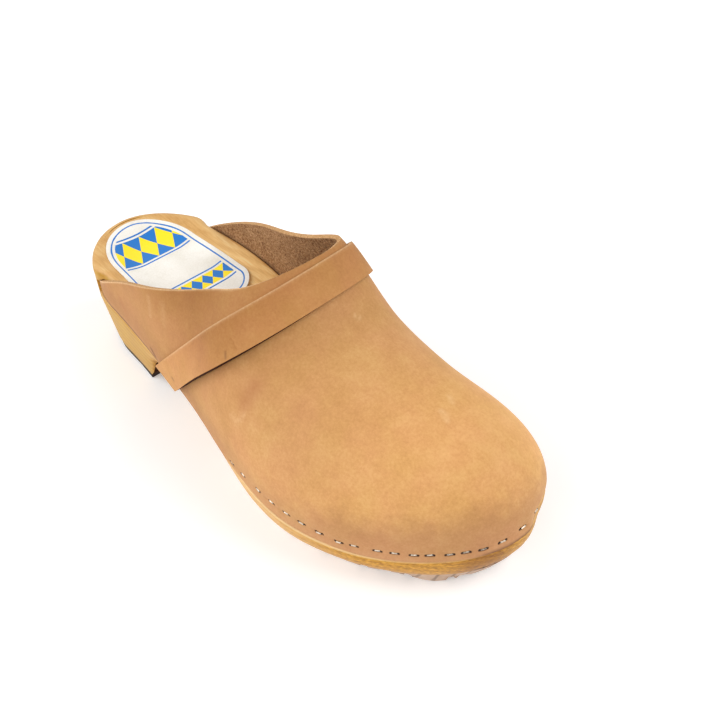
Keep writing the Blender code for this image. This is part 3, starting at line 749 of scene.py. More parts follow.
lift = LABEL_LIFT * blend(62.0, LABEL_FRONT, label_grid) * blend(-6.0, 20.0, label_y)
label_points = np.stack([label_grid, label_y, footbed(label_grid, label_y) + LABEL_SEAT + lift], -1)
loop = np.concatenate([np.column_stack([label_x, outer]), np.column_stack([label_x, inner])])
loop = np.concatenate([loop, label_points[-1, :, :2]])
edge_in = np.sqrt(((label_points[:, :, None, :2] - loop) ** 2).sum(-1)).min(-1)
label_faces = grid_faces(*label_y.shape)
label = piece("heel_label", label_points.reshape(-1, 3), label_faces, [card], {"edge": edge_in})
if label.data.polygons[len(label.data.polygons) // 2].normal.z < 0.0:
    label.data.flip_normals()
stock = label.modifiers.new("card", "SOLIDIFY")
stock.thickness = LABEL_THICK * MM
stock.offset = 1.0
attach(label, "root")
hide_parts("label")

# Upper. One piece of tan nubuck, vamp and quarters together, lasted wet over the foot's form and stapled
# in the rabbet. The flesh side inside is rough brown suede, the cut edges are pale, and the leather
# is pulled in a little at each staple, so that its edge below splays out over the lip.
STAPLE_CROWN = 2.8
STAPLE_DENT = 0.30
LEG_DENT = 0.35
LEG_REACH = 0.7
PULL_LONG = 3.0
PULL_HIGH = 1.6
SPLAY = 0.55
SPLAY_MORE_AT_TOE = 0.45
SPLAY_HIGH = 2.4
DRAWN_HIGH = 5.0
SWELL = 0.22
FRAY = 0.08
EDGE_LOW = 0.24
EDGE_OPEN = 0.2
EDGE_WEAR_AND_HIGHLIGHT = 1.2
EDGE_WEAR_AND_HIGHLIGHT_WIDE = 1.1
EDGE_EASE = 0.3
LAST_REACH = 6.0
TOE_GAP_SHADE = 0.85
WAIST_GAP_SHADE = 0.8

StapleSpot = namedtuple("StapleSpot", "from_toe rise sunk")
OUTER_STAPLES = [StapleSpot(*spot) for spot in (
    (1.5, 3.6, 0.15), (10.8, 2.7, 0.30), (18.2, 2.2, 0.50), (24.4, 2.5, 0.50), (30.2, 2.4, 0.48),
    (37.3, 2.6, 0.50), (43.0, 2.6, 0.50), (50.1, 3.0, 0.46), (56.5, 3.2, 0.50), (65.6, 3.4, 0.42),
    (71.7, 3.0, 0.20), (79.9, 4.2, 0.15), (87.6, 5.0, 0.22), (94.8, 5.4, 0.40), (102.7, 5.6, 0.42),
    (111.2, 5.2, 0.30), (123.1, 3.0, 0.50), (132.2, 1.6, 0.60))]
INNER_STAPLES = [StapleSpot(*spot) for spot in (
    (7.9, 3.4, 0.20), (18.6, 3.0, 0.50), (26.0, 2.8, 0.50), (33.2, 3.0, 0.30), (40.4, 3.3, 0.20),
    (48.0, 3.0, 0.25), (55.0, 3.4, 0.20), (63.4, 3.2, 0.30), (71.0, 3.6, 0.20), (79.4, 3.3, 0.20),
    (87.1, 3.7, 0.35), (95.6, 3.5, 0.20), (104.0, 3.8, 0.25), (112.8, 3.6, 0.20), (121.5, 3.0, 0.45),
    (131.0, 2.4, 0.55))]

# Marks of use on the leather, as lines between two points: pale scuffs where the nap is lifted, rubbed
# places where it is pressed flat and has gone pinker, and a dark notch in its lower edge.
UseMark = namedtuple("UseMark", "start end wide strength")
SCUFFS = [
    UseMark((211.7, 9.8, 59.5), (215.0, 8.5, 59.1), 0.8, 0.45),
    UseMark((214.9, 2.3, 59.4), (219.5, 0.9, 58.6), 0.9, 0.55),
    UseMark((152.0, -45.7, 48.4), (155.3, -46.0, 47.4), 0.9, 0.45),
    UseMark((158.2, -44.1, 51.9), (157.2, -45.3, 49.2), 0.9, 0.35),
    UseMark((167.4, 6.1, 73.7), (167.6, 6.5, 73.6), 0.8, 0.60),
    UseMark((168.1, 7.8, 73.1), (168.3, 8.0, 73.0), 0.7, 0.40),
    UseMark((83.2, -34.4, 62.3), (83.2, -35.9, 52.7), 1.0, 0.26),
    UseMark((93.6, -34.4, 63.9), (95.0, -36.4, 55.3), 1.6, 0.14),
]
RUBS = [
    UseMark((159.2, -37.6, 61.8), (156.8, -42.3, 55.9), 3.2, 0.40),
    UseMark((50.2, -32.5, 42.2), (53.3, -33.1, 37.3), 2.6, 0.40),
]
NOTCHES = [UseMark((76.6, -36.3, 30.6), (78.8, -36.4, 28.2), 1.1, 0.95)]


def use_marks(points, marks):
    """Strength of the marks at each point, fading out at their widths."""
    most = np.zeros(points.shape[:-1])
    for mark in marks:
        run = np.subtract(mark.end, mark.start)
        share = np.clip((points - mark.start) @ run / (run @ run), 0.0, 1.0)
        far = np.linalg.norm(points - mark.start - share[..., None] * run, axis=-1)
        most = np.maximum(most, mark.strength * np.exp(-((far / mark.wide) ** 2)))
    return most


# Nubuck, buffed on the grain side: a matte tan with a fine nap, soft mottling where the nap lies another
# way, paler over the toe, with painted light on the toe's side that faces inward, pinker and darker low on
# the toe's wall, partly where it was stretched and partly as painted shade of that wall, and a pale line
# along the edges, partly worn nap and partly painted highlight. Painted shade darkens the gaps over the lip
# and the staple holes. The nap is drawn coarser than it is, so that it shows.
PATCH = 24.0
SMUDGE = 6.0
NAP = 1.1
DRIFT = 15.0
HOLE_PAST = 0.15
HOLE_IN = 0.25
HOLE_OUT = 0.62
SLIT_OUT = 0.60


def nubuck_leather(name, tones, low_share, high_share):
    """Buffed leather through three tones, deeper to the rear by one share low down and another high up; marks
    on the mesh put the pinker, partly shaded wall, the scuffs and the painted edge highlight, and the painted
    shade of the gaps and the staple holes in place."""
    made, tree, shader = surface(name, IOR=1.45, Sheen_Weight=0.10, Sheen_Roughness=0.45,
                                 Sheen_Tint=linear("FFE2BF"))
    coords = put(tree, "ShaderNodeTexCoord").outputs
    at = coords["Object"]
    patch, smudge, nap, drift = [
        put(tree, "ShaderNodeTexNoise",
            {"Vector": at, "Scale": per(size), "Detail": detail, "Roughness": rough})
        for size, detail, rough in ((PATCH, 3.0, 0.6), (SMUDGE, 4.0, 0.6),
                                    (NAP, 4.0, 0.7), (DRIFT, 2.0, 0.5))]
    mark = {}
    for word in ("rise", "gaping", "rubbed", "worn", "beside", "above", "sunk"):
        mark[word] = put(tree, "ShaderNodeAttribute", attribute_name=word).outputs["Fac"]
    sideways = put(tree, "ShaderNodeMath", {0: mark["beside"], 1: STAPLE_CROWN / 2 + HOLE_PAST},
                   operation="SUBTRACT")
    reach = put(tree, "ShaderNodeCombineXYZ", {"X": sideways, "Y": mark["above"]})
    far = put(tree, "ShaderNodeVectorMath", {0: reach}, operation="LENGTH")
    spot = put(tree, "ShaderNodeSeparateXYZ", {0: at}).outputs
    facing = put(tree, "ShaderNodeSeparateXYZ", {0: coords["Normal"]}).outputs
    faded = {}
    for how, fades in (
        ("SMOOTHSTEP", (Fade("rear", spot["X"], 0.055, -0.020, 0.0, 1.0),
                        Fade("high", spot["Z"], 0.045, 0.085, low_share, high_share),
                        Fade("toe", spot["X"], 0.045, 0.100, 0.0, 1.0),
                        Fade("hole_shade", far, HOLE_IN, HOLE_OUT, 1.0, 0.0))),
        ("LINEAR", (Fade("inner side", facing["Y"], 0.15, 0.75, 0.0, 1.0),
                    Fade("front", spot["X"], 0.030, 0.085, 0.45, 1.0),
                    Fade("hem", mark["rise"], 1.0, 4.5, 0.16, 0.0),
                    Fade("past leg", sideways, 0.0, 0.3, 0.0, 1.0),
                    Fade("deep set", mark["sunk"], 0.30, 0.50, 0.0, 0.85),
                    Fade("dull", patch, 0.0, 1.0, 0.68, 0.86))),
    ):
        for fade in fades:
            faded[fade.name] = put(tree, "ShaderNodeMapRange",
                                   {"Value": fade.value, "From Min": fade.start, "From Max": fade.end,
                                    "To Min": fade.low, "To Max": fade.high}, interpolation_type=how)
    mix = 0.0
    for pattern, weight in ((patch, 0.32), (smudge, 0.20), (nap, 0.48)):
        mix = put(tree, "ShaderNodeMath", {0: pattern, 1: weight, 2: mix}, operation="MULTIPLY_ADD")
    ragged = mark["rise"]
    for pattern, weight in ((patch, 10.0), (smudge, 8.0), (faded["toe"], -5.5)):
        ragged = put(tree, "ShaderNodeMath", {0: pattern, 1: weight, 2: ragged}, operation="MULTIPLY_ADD")
    wall = put(tree, "ShaderNodeMapRange",
               {"Value": ragged, "From Min": 14.0, "From Max": 28.5, "To Min": 0.72, "To Max": 0.0},
               interpolation_type="SMOOTHSTEP")
    off_line = put(tree, "ShaderNodeMath", {0: mark["above"]}, operation="ABSOLUTE")
    off_line = put(tree, "ShaderNodeMath", {0: off_line, 1: faded["past leg"]}, operation="ADD")
    # Painted shade: a dark slit along the crown of a deep-set staple; the holes at its legs are dark too.
    slit_shade = put(tree, "ShaderNodeMapRange",
               {"Value": off_line, "From Min": HOLE_IN, "From Max": SLIT_OUT, "To Min": 1.0, "To Max": 0.0})
    rear, inner_toe, wall, worn, slit_shade = [
        put(tree, "ShaderNodeMath", {0: one, 1: other}, operation="MULTIPLY")
        for one, other in ((faded["rear"], faded["high"]), (faded["inner side"], faded["toe"]),
                           (wall, faded["front"]), (mark["worn"], nap), (slit_shade, faded["deep set"]))]
    hole_shade = put(tree, "ShaderNodeMath", {0: faded["hole_shade"], 1: slit_shade}, operation="MAXIMUM")
    colour = put(tree, "ShaderNodeValToRGB", {"Fac": mix}, zip((0.34, 0.50, 0.66), tones))
    hue = put(tree, "ShaderNodeValToRGB", {"Fac": drift}, [(0.35, "C7965A"), (0.65, "D2946A")])
    colour = put(tree, "ShaderNodeMix", {"Factor": 0.25, 6: colour, 7: hue}, data_type="RGBA")
    colour = put(tree, "ShaderNodeMix", {"Factor": rear, 6: colour, 7: (0.76, 0.70, 0.60, 1.0)},
                 data_type="RGBA", blend_type="MULTIPLY", clamp_factor=False)
    for share, how, tint in ((faded["toe"], "MULTIPLY", (1.14, 1.15, 1.10, 1.0)),
                             # Painted light: the toe's side that faces inward is lighter.
                             (inner_toe, "MULTIPLY", (1.16, 1.22, 1.30, 1.0)),
                             # Darker and pinker low on the toe's front wall: partly the stretched leather's
                             # tone, partly painted shade of that wall.
                             (wall, "MULTIPLY", (0.68, 0.63, 0.74, 1.0)),
                             (faded["hem"], "MIX", linear("D9A47E")),
                             # Painted shade in the gaps under the leather's lower edge; also its nicks and
                             # notch.
                             (mark["gaping"], "MIX", linear("623818")),
                             (mark["rubbed"], "MIX", linear("A8683C")),
                             # Pale line along the edges, partly worn nap and partly a painted highlight; also
                             # the scuffs.
                             (worn, "MIX", linear("F2CFA0")),
                             # Painted shade in the staple holes and along the slits by sunk crowns.
                             (hole_shade, "MIX", linear("301505"))):
        colour = put(tree, "ShaderNodeMix", {"Factor": share, 6: colour, 7: tint},
                     data_type="RGBA", blend_type=how)
    bump = put(tree, "ShaderNodeBump", {"Height": nap, "Strength": 0.35, "Distance": 0.00025})
    feed(tree, shader, {"Base Color": colour, "Roughness": faded["dull"], "Normal": bump})
    return made


nubuck = nubuck_leather("buffed_tan_nubuck", ("BC8449", "CC965A", "D8A86C"), 0.95, 2.0)

# Flesh side, left rough: reddish brown suede with clumped fibres, drawn coarse so that they show.
FUZZ = 0.9
CLUMP = 9.0
suede, tree, shader = surface("rough_brown_suede", IOR=1.45, Roughness=0.95)
at = put(tree, "ShaderNodeTexCoord").outputs["Object"]
fuzz = put(tree, "ShaderNodeTexNoise", {"Vector": at, "Scale": per(FUZZ), "Detail": 3.0, "Roughness": 0.7})
clump = put(tree, "ShaderNodeTexNoise", {"Vector": at, "Scale": per(CLUMP), "Detail": 3.0})
clump = put(tree, "ShaderNodeMath", {0: clump, 1: 0.15}, operation="MULTIPLY")
clump = put(tree, "ShaderNodeMath", {0: fuzz, 1: 0.85, 2: clump}, operation="MULTIPLY_ADD")
brown = put(tree, "ShaderNodeValToRGB", {"Fac": clump},
            [(0.34, "644126"), (0.50, "A1774F"), (0.66, "CBA377")])
bump = put(tree, "ShaderNodeBump", {"Height": fuzz, "Strength": 0.8, "Distance": 0.0006})
feed(tree, shader, {"Base Color": brown, "Normal": bump})

# Knife-cut edge of the hide: paler than both faces, with loose fibres, drawn coarse so that they show. The
# strap's front edge is painted dark, as shade of the crevice under it.
THREAD = 0.6
cut_edge, tree, shader = surface("knife_cut_leather_edge", IOR=1.45, Roughness=0.9, Specular_IOR_Level=0.15)
at = put(tree, "ShaderNodeTexCoord").outputs["Object"]
thread = put(tree, "ShaderNodeTexNoise", {"Vector": at, "Scale": per(THREAD), "Detail": 3.0})
pale = put(tree, "ShaderNodeValToRGB", {"Fac": thread}, [(0.35, "AE7E4E"), (0.65, "D8AE7E")])
# Painted shade: the strap's front edge is dark.
ink = put(tree, "ShaderNodeAttribute", attribute_name="shaded_front_edge").outputs["Fac"]
pale = put(tree, "ShaderNodeMix", {"Factor": ink, 6: pale, 7: linear("38190A")}, data_type="RGBA")
bump = put(tree, "ShaderNodeBump", {"Height": thread, "Strength": 0.4, "Distance": 0.0002})
feed(tree, shader, {"Base Color": pale, "Normal": bump})


def topline_share(x):
    """Share q of the section at x that the leather covers; 1 from the throat forward."""
    ridge = column(RIDGE, "height", x)
    share = np.clip((topline_height(x) - lip(x)) / (ridge - lip(x)), 0.0, 1.0)
    covered = np.arcsin(share ** (column(RIDGE, "square", x) / 2.0)) / (np.pi / 2)
    return np.where(x >= throat_x, 1.0, covered)


lip_x = np.concatenate([np.linspace(0.0, throat_x, 400),
                        throat_x + (LENGTH - throat_x) * np.sin(np.linspace(0.0, np.pi / 2, 500))[1:]])


def gone_along(points):
    """Distance gone along each row of points."""
    step = np.linalg.norm(np.diff(points, axis=-2), axis=-1)
    return np.concatenate([0.0 * step[..., :1], np.cumsum(step, axis=-1)], axis=-1)


def from_toe(side, x):
    """Distance from the toe's tip along the lip to the station x."""
    gone = gone_along(shell(side, lip_x, np.zeros_like(lip_x)))
    return np.interp(x, lip_x, gone[-1] - gone)


def splay(side, x, rise):
    """How far the leather's edge stands out over the lip; at the inner toe it follows the tucked wood."""
    out = (SPLAY + SPLAY_MORE_AT_TOE * blend(190.0, 235.0, x)) * blend(120.0, 150.0, x)
    out = out * np.exp(-((rise / SPLAY_HIGH) ** 2))
    inner_toe = blend(185.0, 215.0, x) * blend(5.5, 12.0, outline(1, x))
    drawn = (LIP_PROUD - TOE_TUCK - toe_tuck(1, x)) * np.exp(-((rise / DRAWN_HIGH) ** 2))
    return np.where(side > 0, drawn * inner_toe + out * (1.0 - inner_toe), out)


upper_x = np.concatenate([rear_x + (throat_x - rear_x) * np.linspace(0.0, 1.0, 110) ** 1.1,
                          throat_x + (LENGTH - throat_x) * np.sin(np.linspace(0.0, np.pi / 2, 120))[1:]])
rows_up = np.concatenate([np.linspace(0.0, 0.15, 20), np.linspace(0.15, 1.0, 42)[1:]])
back = np.clip((throat_x - upper_x) / (throat_x - rear_x), 0.0, 1.0)
crest_x = np.where(upper_x < throat_x, throat_x - (throat_x - rear_x) * back**2, upper_x)

# The leather's outer face, half by half. Its marks tell the material and the dents how high a point is above
# the lip, how far it is from the nearest staple, how worn or rubbed the leather is there and where a painted
# highlight runs, and where a gap under its edge gets painted shade.
FAR = 60.0
sheets = []
marks = {word: [] for word in ("rise", "beside", "above", "sunk", "worn", "rubbed", "gaping", "dent")}
for side, spots in ((-1, OUTER_STAPLES), (1, INNER_STAPLES)):
    x = upper_x[:, None] + (crest_x - upper_x)[:, None] * rows_up**1.4
    q = topline_share(crest_x)[:, None] * rows_up
    face = shell(side, x, q)
    rise = gone_along(face)
    along = from_toe(side, x)
    places = np.array([spot.from_toe for spot in spots])
    nearest = np.abs(along[..., None] - places).argmin(-1)
    beside = np.abs(along - places[nearest])
    beside = np.where(along > places[-1] + LAST_REACH, FAR, beside)
    above = rise - np.interp(along, places, [spot.rise for spot in spots])
    sunk = np.array([spot.sunk for spot in spots])[nearest]
    to_edge = np.where(crest_x[:, None] < throat_x - 0.01, rise[:, -1:] - rise, FAR)
    # A pale line along the top edge, partly worn nap and partly a painted highlight, and the scuffs.
    worn = np.maximum(EDGE_WEAR_AND_HIGHLIGHT * np.exp(-((to_edge / EDGE_WEAR_AND_HIGHLIGHT_WIDE) ** 2)), use_marks(face, SCUFFS))
    rubbed = use_marks(face, RUBS)
    # Painted shade: a dark band low on the leather where it gapes off the lip, at the toe and along the
    # waist.
    toe_gap_shade = blend(1.2, 0.2, rise) * (blend(34.0, 22.0, along) if side > 0 else blend(24.0, 14.0, along))
    waist_gap_shade = blend(1.7, 0.3, rise) * blend(87.5, 75.5, x)
    gaping = np.maximum(TOE_GAP_SHADE * toe_gap_shade, WAIST_GAP_SHADE * waist_gap_shade)
    gaping = np.maximum(gaping, use_marks(face, NOTCHES))
    pull = np.exp(-((beside / PULL_LONG) ** 2) - (above / PULL_HIGH) ** 2)
    legs = np.exp(-(((beside - STAPLE_CROWN / 2) / LEG_REACH) ** 2) - (above / LEG_REACH) ** 2)
    soft = SWELL * np.sin(along / 17.0 + side) * np.sin(rise / 13.0 + 0.8) * blend(6.0, 20.0, rise)
    soft = soft * (1.0 - blend(0.70, 0.92, q))
    dent = soft - STAPLE_DENT * pull - LEG_DENT * legs
    frayed = FRAY * np.sin(along / 4.3) * np.sin(along / 2.9 + 1.0) - EDGE_LOW
    opened = EDGE_OPEN * blend(0.9, CORNER_TUCK, toe_tuck(side, x))
    face[..., 2] += (frayed + opened) * np.exp(-rise / 2.0)
    face[..., :2] += np.stack(outward(side, x), -1) * splay(side, x, rise)[..., None]
    sheets.append((face.reshape(-1, 3), grid_faces(len(upper_x), len(rows_up))))
    for word, values in zip(marks, (rise, beside, above, sunk, worn, rubbed, gaping, dent)):
        marks[word].append(values.ravel())
upper = piece("nubuck_upper", *join(sheets), [nubuck, suede, cut_edge],
              {word: np.concatenate(values) for word, values in marks.items()})


def face_out(sheet, inside, share):
    """Turn an open sheet so that its outer face looks away from a point inside."""
    probe = sheet.data.polygons[int(len(sheet.data.polygons) * share)]
    if probe.normal.dot(probe.center - Vector(placed(inside))) < 0.0:
        sheet.data.flip_normals()


def press(sheet):
    """Move each point of a sheet along its normal by the millimetres in its dent mark."""
    count = len(sheet.data.vertices)
    at = np.empty(count * 3, np.float32)
    way = np.empty(count * 3, np.float32)
    deep = np.empty(count, np.float32)
    sheet.data.vertices.foreach_get("co", at)
    sheet.data.vertex_normals.foreach_get("vector", way)
    sheet.data.attributes["dent"].data.foreach_get("value", deep)
    sheet.data.vertices.foreach_set("co", at + way * np.repeat(deep, 3) * MM)
    sheet.data.update()


def bake(made):
    """Keep what an object's modifiers make as its own mesh."""
    graph = bpy.context.evaluated_depsgraph_get()
    baked = bpy.data.meshes.new_from_object(made.evaluated_get(graph), depsgraph=graph)
    made.modifiers.clear()
    made.data = baked
    smooth(baked, 50.0)


def leather_wall(sheet, thick, offset, edge_ease):
    """Give a leather sheet its wall, suede behind and a cut edge, with the edge eased, and bake it."""
    wall = sheet.modifiers.new("wall", "SOLIDIFY")
    wall.thickness = thick * MM
    wall.offset = offset
    wall.use_even_offset = True
    wall.use_quality_normals = True
    wall.material_offset = 1
    wall.material_offset_rim = 2
    ease(sheet, edge_ease, 50.0)
    bake(sheet)


face_out(upper, (150.0, 0.0, 30.0), 0.33)
press(upper)
leather_wall(upper, LEATHER_THICK, -1.0, EDGE_EASE)
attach(upper, "root")
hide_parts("upper")

# Strap. A band of the same leather over the instep, its ends stapled with the upper in the rabbet near
# the heel breast. It is stiff, so its front edge stands a little off the vamp and shades it; that edge is
# painted dark, as shade of the crevice under it, and its rear edge has a pale painted highlight.
STRAP_FOOT = 84.6
STRAP_LEVEL = 30.0
STRAP_HIGH = 40.0
STRAP_SLANT = 1.072
STRAP_FLARE = 0.006
STRAP_SKEW = -0.05
STRAP_WIDE = 13.8
STRAP_THICK = 1.9
STRAP_GAP = 0.65
STRAP_SETTLE = 0.35
STRAP_STAND = 1.3
STRAP_EDGE_HIGHLIGHT = 0.7
STRAP_EDGE_HIGHLIGHT_WIDE = 0.6
STRAP_EASE = 0.5
CLIMB_STEPS = 240
CLIMB_START = 0.012
NICK_STEP = 117
NICK_REACH = 2.5
NICK_DEEP = 0.4
STRAP_NICKS = [
    UseMark((145.4, -37.9, 71.0), (146.5, -38.9, 69.4), 0.5, 0.6),
    UseMark((103.0, -40.5, 34.0), (104.2, -40.6, 33.6), 0.7, 0.6),
]
climb = np.linspace(CLIMB_START, 1.0, CLIMB_STEPS)
climb = np.concatenate([climb, climb[-2::-1]])
strap_side = np.concatenate([np.full(CLIMB_STEPS, -1), np.full(CLIMB_STEPS - 1, 1)])
strap_nubuck = nubuck_leather("buffed_strap_nubuck", ("B97E41", "C98E4F", "D59F5F"), 0.40, 2.7)


def unit(ways):
    """Directions of length one."""
    return ways / np.linalg.norm(ways, axis=-1, keepdims=True)


def strap_line(share):
    """Line across the instep at a share of the strap's width, lifted off the upper, and its outward way."""
    foot = STRAP_FOOT + share * STRAP_WIDE * np.sqrt(1.0 + STRAP_SLANT**2)
    slant = STRAP_SLANT + share * STRAP_FLARE
    x = foot + slant * STRAP_HIGH * climb
    for _ in range(40):
        at = shell(strap_side, x, climb)
        x = x + 0.5 * (foot + slant * (at[:, 2] - STRAP_LEVEL) + STRAP_SKEW * at[:, 1] - x)
    at = shell(strap_side, x, climb)
    along = shell(strap_side, x + 0.3, climb) - shell(strap_side, x - 0.3, climb)
    step = np.where(climb < 0.98, 0.01, -0.01)
    rise = (shell(strap_side, x, climb + step) - at) * np.sign(step)[:, None]
    lift = unit(np.cross(along, rise) * -strap_side[:, None])
    gone = np.linspace(0.0, 1.0, len(climb))
    stand = STRAP_STAND * share**1.5 * blend(0.0, 0.25, climb) * (1.0 - blend(0.32, 0.62, gone))
    gap = STRAP_GAP - STRAP_SETTLE * blend(0.40, 0.55, gone)
    return at + lift * (gap + stand)[:, None], lift


strap_shares = np.concatenate([[0.0, 0.025, 0.06, 0.12], np.linspace(0.16, 0.92, 22), [0.95, 0.98, 1.0]])
strap_rows = [strap_line(share) for share in strap_shares]
across = strap_shares[:, None] + 0.0 * climb
far = np.full(across.shape, FAR)
nick = np.exp(-(((np.arange(len(climb)) - NICK_STEP) / NICK_REACH) ** 2))
nick = nick * blend(0.35, 0.6, across) * blend(0.98, 0.8, across)
# Painted highlight: a pale line along the strap's rear edge.
worn = STRAP_EDGE_HIGHLIGHT * np.exp(-((across * STRAP_WIDE / STRAP_EDGE_HIGHLIGHT_WIDE) ** 2)) * blend(0.05, 0.3, climb)
strap_points = np.concatenate([row[0] for row in strap_rows])
gaping = use_marks(strap_points, STRAP_NICKS)
# The strap's front edge is marked for a dark colour, painted shade of the crevice under it.
strap = piece("instep_strap", strap_points, grid_faces(*across.shape), [strap_nubuck, suede, cut_edge],
              {"rise": far, "beside": far, "above": far, "sunk": 0.0 * far, "worn": worn, "gaping": gaping,
               "shaded_front_edge": across > 0.99, "dent": -NICK_DEEP * nick})
face_out(strap, (120.0, 0.0, 40.0), 0.5)
press(strap)
leather_wall(strap, STRAP_THICK, 1.0, STRAP_EASE)
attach(strap, "root")
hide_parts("strap")

# Staples. Bright wire staples driven through the leather's edge into the rabbet round the toe and the ball,
# about eight millimetres apart, some of them sunk into the leather; one more holds each strap end.
WIRE = 0.72
WIRE_LEG = 1.6
WIRE_BENDS = 0.5
WIRE_LINE = 0.8
LEAN = 9.0
BEND_SHARE = 0.84
END_STEP = 16
END_SHARE = 0.66
END_SUNK = 0.40

# Drawn steel wire, bright from the die: it mirrors the studio, and the die's marks, drawn coarse so that they
# show, make it patchy. Near its bends it is dark brown: painted shade where the legs go into the leather,
# with wax and dust.
steel, tree, shader = surface("drawn_steel_wire", Metallic=1.0)
at = put(tree, "ShaderNodeTexCoord").outputs["Object"]
drawn = put(tree, "ShaderNodeTexNoise", {"Vector": at, "Scale": per(WIRE_LINE), "Detail": 2.0})
bright = put(tree, "ShaderNodeValToRGB", {"Fac": drawn}, [(0.35, "A99F90"), (0.65, "E6DCCB")])
# Painted shade with wax and dust: dark near the bends.
bend_shade = put(tree, "ShaderNodeAttribute", attribute_name="bend_shade").outputs["Fac"]
bright = put(tree, "ShaderNodeMix", {"Factor": bend_shade, 6: bright, 7: linear("2A180D")}, data_type="RGBA")
rough = put(tree, "ShaderNodeMapRange", {"Value": drawn, "To Min": 0.22, "To Max": 0.42})
feed(tree, shader, {"Base Color": bright, "Roughness": rough})

seats = []
for side, spots in ((-1, OUTER_STAPLES), (1, INNER_STAPLES)):
    for spot in spots:
        x = float(np.interp(spot.from_toe, from_toe(side, lip_x[::-1]), lip_x[::-1]))
        q = np.linspace(0.0, 0.3, 120)
        section = shell(side, x, q)
        at_q = float(np.interp(spot.rise, gone_along(section), q))
        here = shell(side, x, at_q)
        ahead = shell(side, min(x + 0.2, LENGTH), at_q) - shell(side, max(x - 0.2, 0.0), at_q)
        climb_way = shell(side, x, at_q + 0.005) - shell(side, x, at_q - 0.005)
        way = unit(np.cross(ahead, climb_way) * -side)
        here = here + np.array([*outward(side, x), 0.0]) * splay(side, x, spot.rise)
        seats.append((here - spot.sunk * way, unit(ahead), way))
for pick in (END_STEP, len(climb) - 1 - END_STEP):
    here, way = [row[pick] for row in strap_line(END_SHARE)]
    ahead = strap_line(END_SHARE + 0.1)[0][pick] - here
    seats.append((here + way * (STRAP_THICK - END_SUNK), unit(ahead), way))

line_mesh = bpy.data.meshes.new("staple_line")
line_mesh.from_pydata([tuple(p) for p in placed([seat[0] for seat in seats])], [], [])
for mark, pick in (("ahead", 1), ("out", 2)):
    values = np.array([seat[pick] for seat in seats], np.float32)
    line_mesh.attributes.new(mark, "FLOAT_VECTOR", "POINT").data.foreach_set("vector", values.ravel())
staples = stand("wire_staples", line_mesh)

tree = bpy.data.node_groups.new("staple_row", "GeometryNodeTree")
tree.interface.new_socket("Line", in_out="INPUT", socket_type="NodeSocketGeometry")
sizes = {"Crown": (STAPLE_CROWN - WIRE_BENDS) * MM, "Wire": WIRE * MM, "Leg": WIRE_LEG * MM,
         "Lean": np.radians(LEAN)}
for name in sizes:
    tree.interface.new_socket(name, in_out="INPUT", socket_type="NodeSocketFloat")
tree.interface.new_socket("Staples", in_out="OUTPUT", socket_type="NodeSocketGeometry")
given = put(tree, "NodeGroupInput").outputs
half, other, down, radius, least = [
    put(tree, "ShaderNodeMath", {0: given[name], 1: times}, operation="MULTIPLY")
    for name, times in (("Crown", 0.5), ("Crown", -0.5), ("Leg", -1.0), ("Wire", 0.5), ("Lean", -1.0))]
ends = [put(tree, "ShaderNodeCombineXYZ", {"X": x}) for x in (half, other)]
feet = [put(tree, "ShaderNodeCombineXYZ", {"X": x, "Z": down}) for x in (half, other)]
wires = put(tree, "GeometryNodeJoinGeometry")
for start, end in ((ends[0], ends[1]), (ends[0], feet[0]), (ends[1], feet[1])):
    run = put(tree, "GeometryNodeCurvePrimitiveLine", {"Start": start, "End": end})
    run = put(tree, "GeometryNodeResampleCurve", {"Curve": run, "Count": 8})
    feed(tree, wires, {0: run})
ring = put(tree, "GeometryNodeCurvePrimitiveCircle", {"Resolution": 8, "Radius": radius})
wire = put(tree, "GeometryNodeCurveToMesh", {"Curve": wires, "Profile Curve": ring, "Fill Caps": True})
sideways = put(tree, "ShaderNodeSeparateXYZ", {0: put(tree, "GeometryNodeInputPosition")}).outputs["X"]
sideways = put(tree, "ShaderNodeMath", {0: sideways}, operation="ABSOLUTE")
# Points near the bends, for the painted shade there.
near_bend = put(tree, "ShaderNodeMath", {0: half, 1: BEND_SHARE}, operation="MULTIPLY")
bend_shade = put(tree, "ShaderNodeMapRange", {"Value": sideways, "From Min": near_bend, "From Max": half})
wire = put(tree, "GeometryNodeStoreNamedAttribute", {"Geometry": wire, "Name": "bend_shade", "Value": bend_shade},
           data_type="FLOAT", domain="POINT")
ahead, out = [put(tree, "GeometryNodeInputNamedAttribute", {"Name": name}, data_type="FLOAT_VECTOR")
              for name in ("ahead", "out")]
turned = put(tree, "FunctionNodeAxesToRotation", {"Primary Axis": out, "Secondary Axis": ahead},
             primary_axis="Z", secondary_axis="X")
set_wire = put(tree, "GeometryNodeInstanceOnPoints",
               {"Points": given["Line"], "Instance": wire, "Rotation": turned})
lean = put(tree, "FunctionNodeRandomValue", {2: least, 3: given["Lean"], "Seed": 11}, data_type="FLOAT")
twist = put(tree, "ShaderNodeCombineXYZ", {"Z": lean})
leaning = put(tree, "GeometryNodeRotateInstances", {"Instances": set_wire, "Rotation": twist})
real = put(tree, "GeometryNodeRealizeInstances", {"Geometry": leaning})
coated = put(tree, "GeometryNodeSetMaterial", {"Geometry": real, "Material": steel})
put(tree, "NodeGroupOutput", {"Staples": coated})

row = staples.modifiers.new("staple_row", "NODES")
row.node_group = tree
for socket in tree.interface.items_tree:
    if socket.in_out == "INPUT" and socket.name in sizes:
        row[socket.identifier] = float(sizes[socket.name])
bake(staples)
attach(staples, "root")

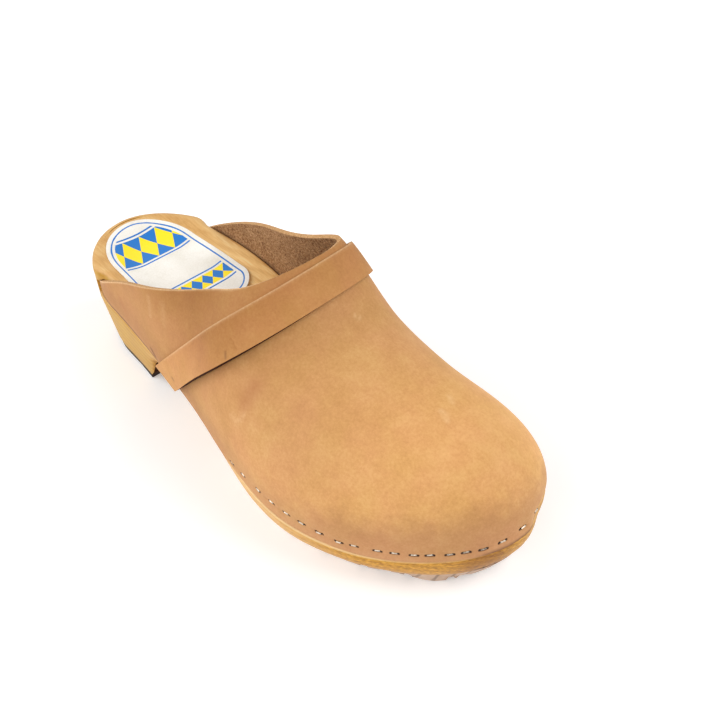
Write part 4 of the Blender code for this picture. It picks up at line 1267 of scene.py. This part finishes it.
# Studio. A plain white paper floor under broad soft lamps, the strongest from the left and from the toe's
# side, and a camera at the photograph's place and angle.
floor_mesh = bpy.data.meshes.new("floor")
floor_mesh.from_pydata([(-4, -4, 0), (4, -4, 0), (4, 4, 0), (-4, 4, 0)], [], [(0, 1, 2, 3)])
floor = stand("floor", floor_mesh)
paper, tree, shader = surface("matte_white_paper", Base_Color=(0.9, 0.9, 0.9, 1.0), Roughness=0.9,
                              Emission_Color=(1.0, 1.0, 1.0, 1.0), Emission_Strength=0.25)
floor_mesh.materials.append(paper)
floor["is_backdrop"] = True

VIEW_TURN = 49.611
VIEW_RISE = 41.276
VIEW_ROLL = -4.11
VIEW_FAR = 389.776
VIEW_TARGET = (152.746, 19.099, 35.0)
FOCAL_PIXELS = 927.471
FRAME_PIXELS = 720
turn, rise, roll = np.radians([VIEW_TURN, VIEW_RISE, VIEW_ROLL])
back_way = np.array([np.sin(turn) * np.cos(rise), -np.cos(turn) * np.cos(rise), np.sin(rise)])
right_way = unit(np.cross(-back_way, (0.0, 0.0, 1.0)))
up_way = np.cross(right_way, -back_way)
right_way, up_way = (right_way * np.cos(roll) + up_way * np.sin(roll),
                     up_way * np.cos(roll) - right_way * np.sin(roll))
camera_data = bpy.data.cameras.new("camera")
camera_data.lens = FOCAL_PIXELS / FRAME_PIXELS * camera_data.sensor_width
camera_data.clip_start = 0.01
camera = stand("camera", camera_data)
eye = placed(VIEW_TARGET) + back_way * (VIEW_FAR * MM)
turned = Matrix((right_way, up_way, back_way)).transposed().to_4x4()
camera.matrix_world = Matrix.Translation(Vector(eye)) @ turned
bpy.context.scene.camera = camera


def soft_light(name, place, size, watts):
    """Square area light aimed at the shoe."""
    data = bpy.data.lights.new(name, "AREA")
    data.size = size
    data.energy = watts
    made = stand(name, data)
    made.location = place
    made.rotation_euler = (-Vector(place)).to_track_quat("-Z", "Y").to_euler()


soft_light("left", (-0.9, -0.9, 0.9), 1.2, 14.0)
soft_light("toe", (0.8, 0.7, 0.95), 1.0, 13.0)
soft_light("side", (0.2, -1.3, 0.7), 1.0, 7.0)
soft_light("back", (-0.9, 0.6, 1.0), 1.0, 2.5)
world = bpy.data.worlds.new("studio")
world.use_nodes = True
feed(world.node_tree, world.node_tree.nodes["Background"], {"Color": (1.0, 1.0, 1.0, 1.0), "Strength": 0.30})
bpy.context.scene.world = world
bpy.context.scene.view_settings.view_transform = "Standard"

low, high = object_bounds()
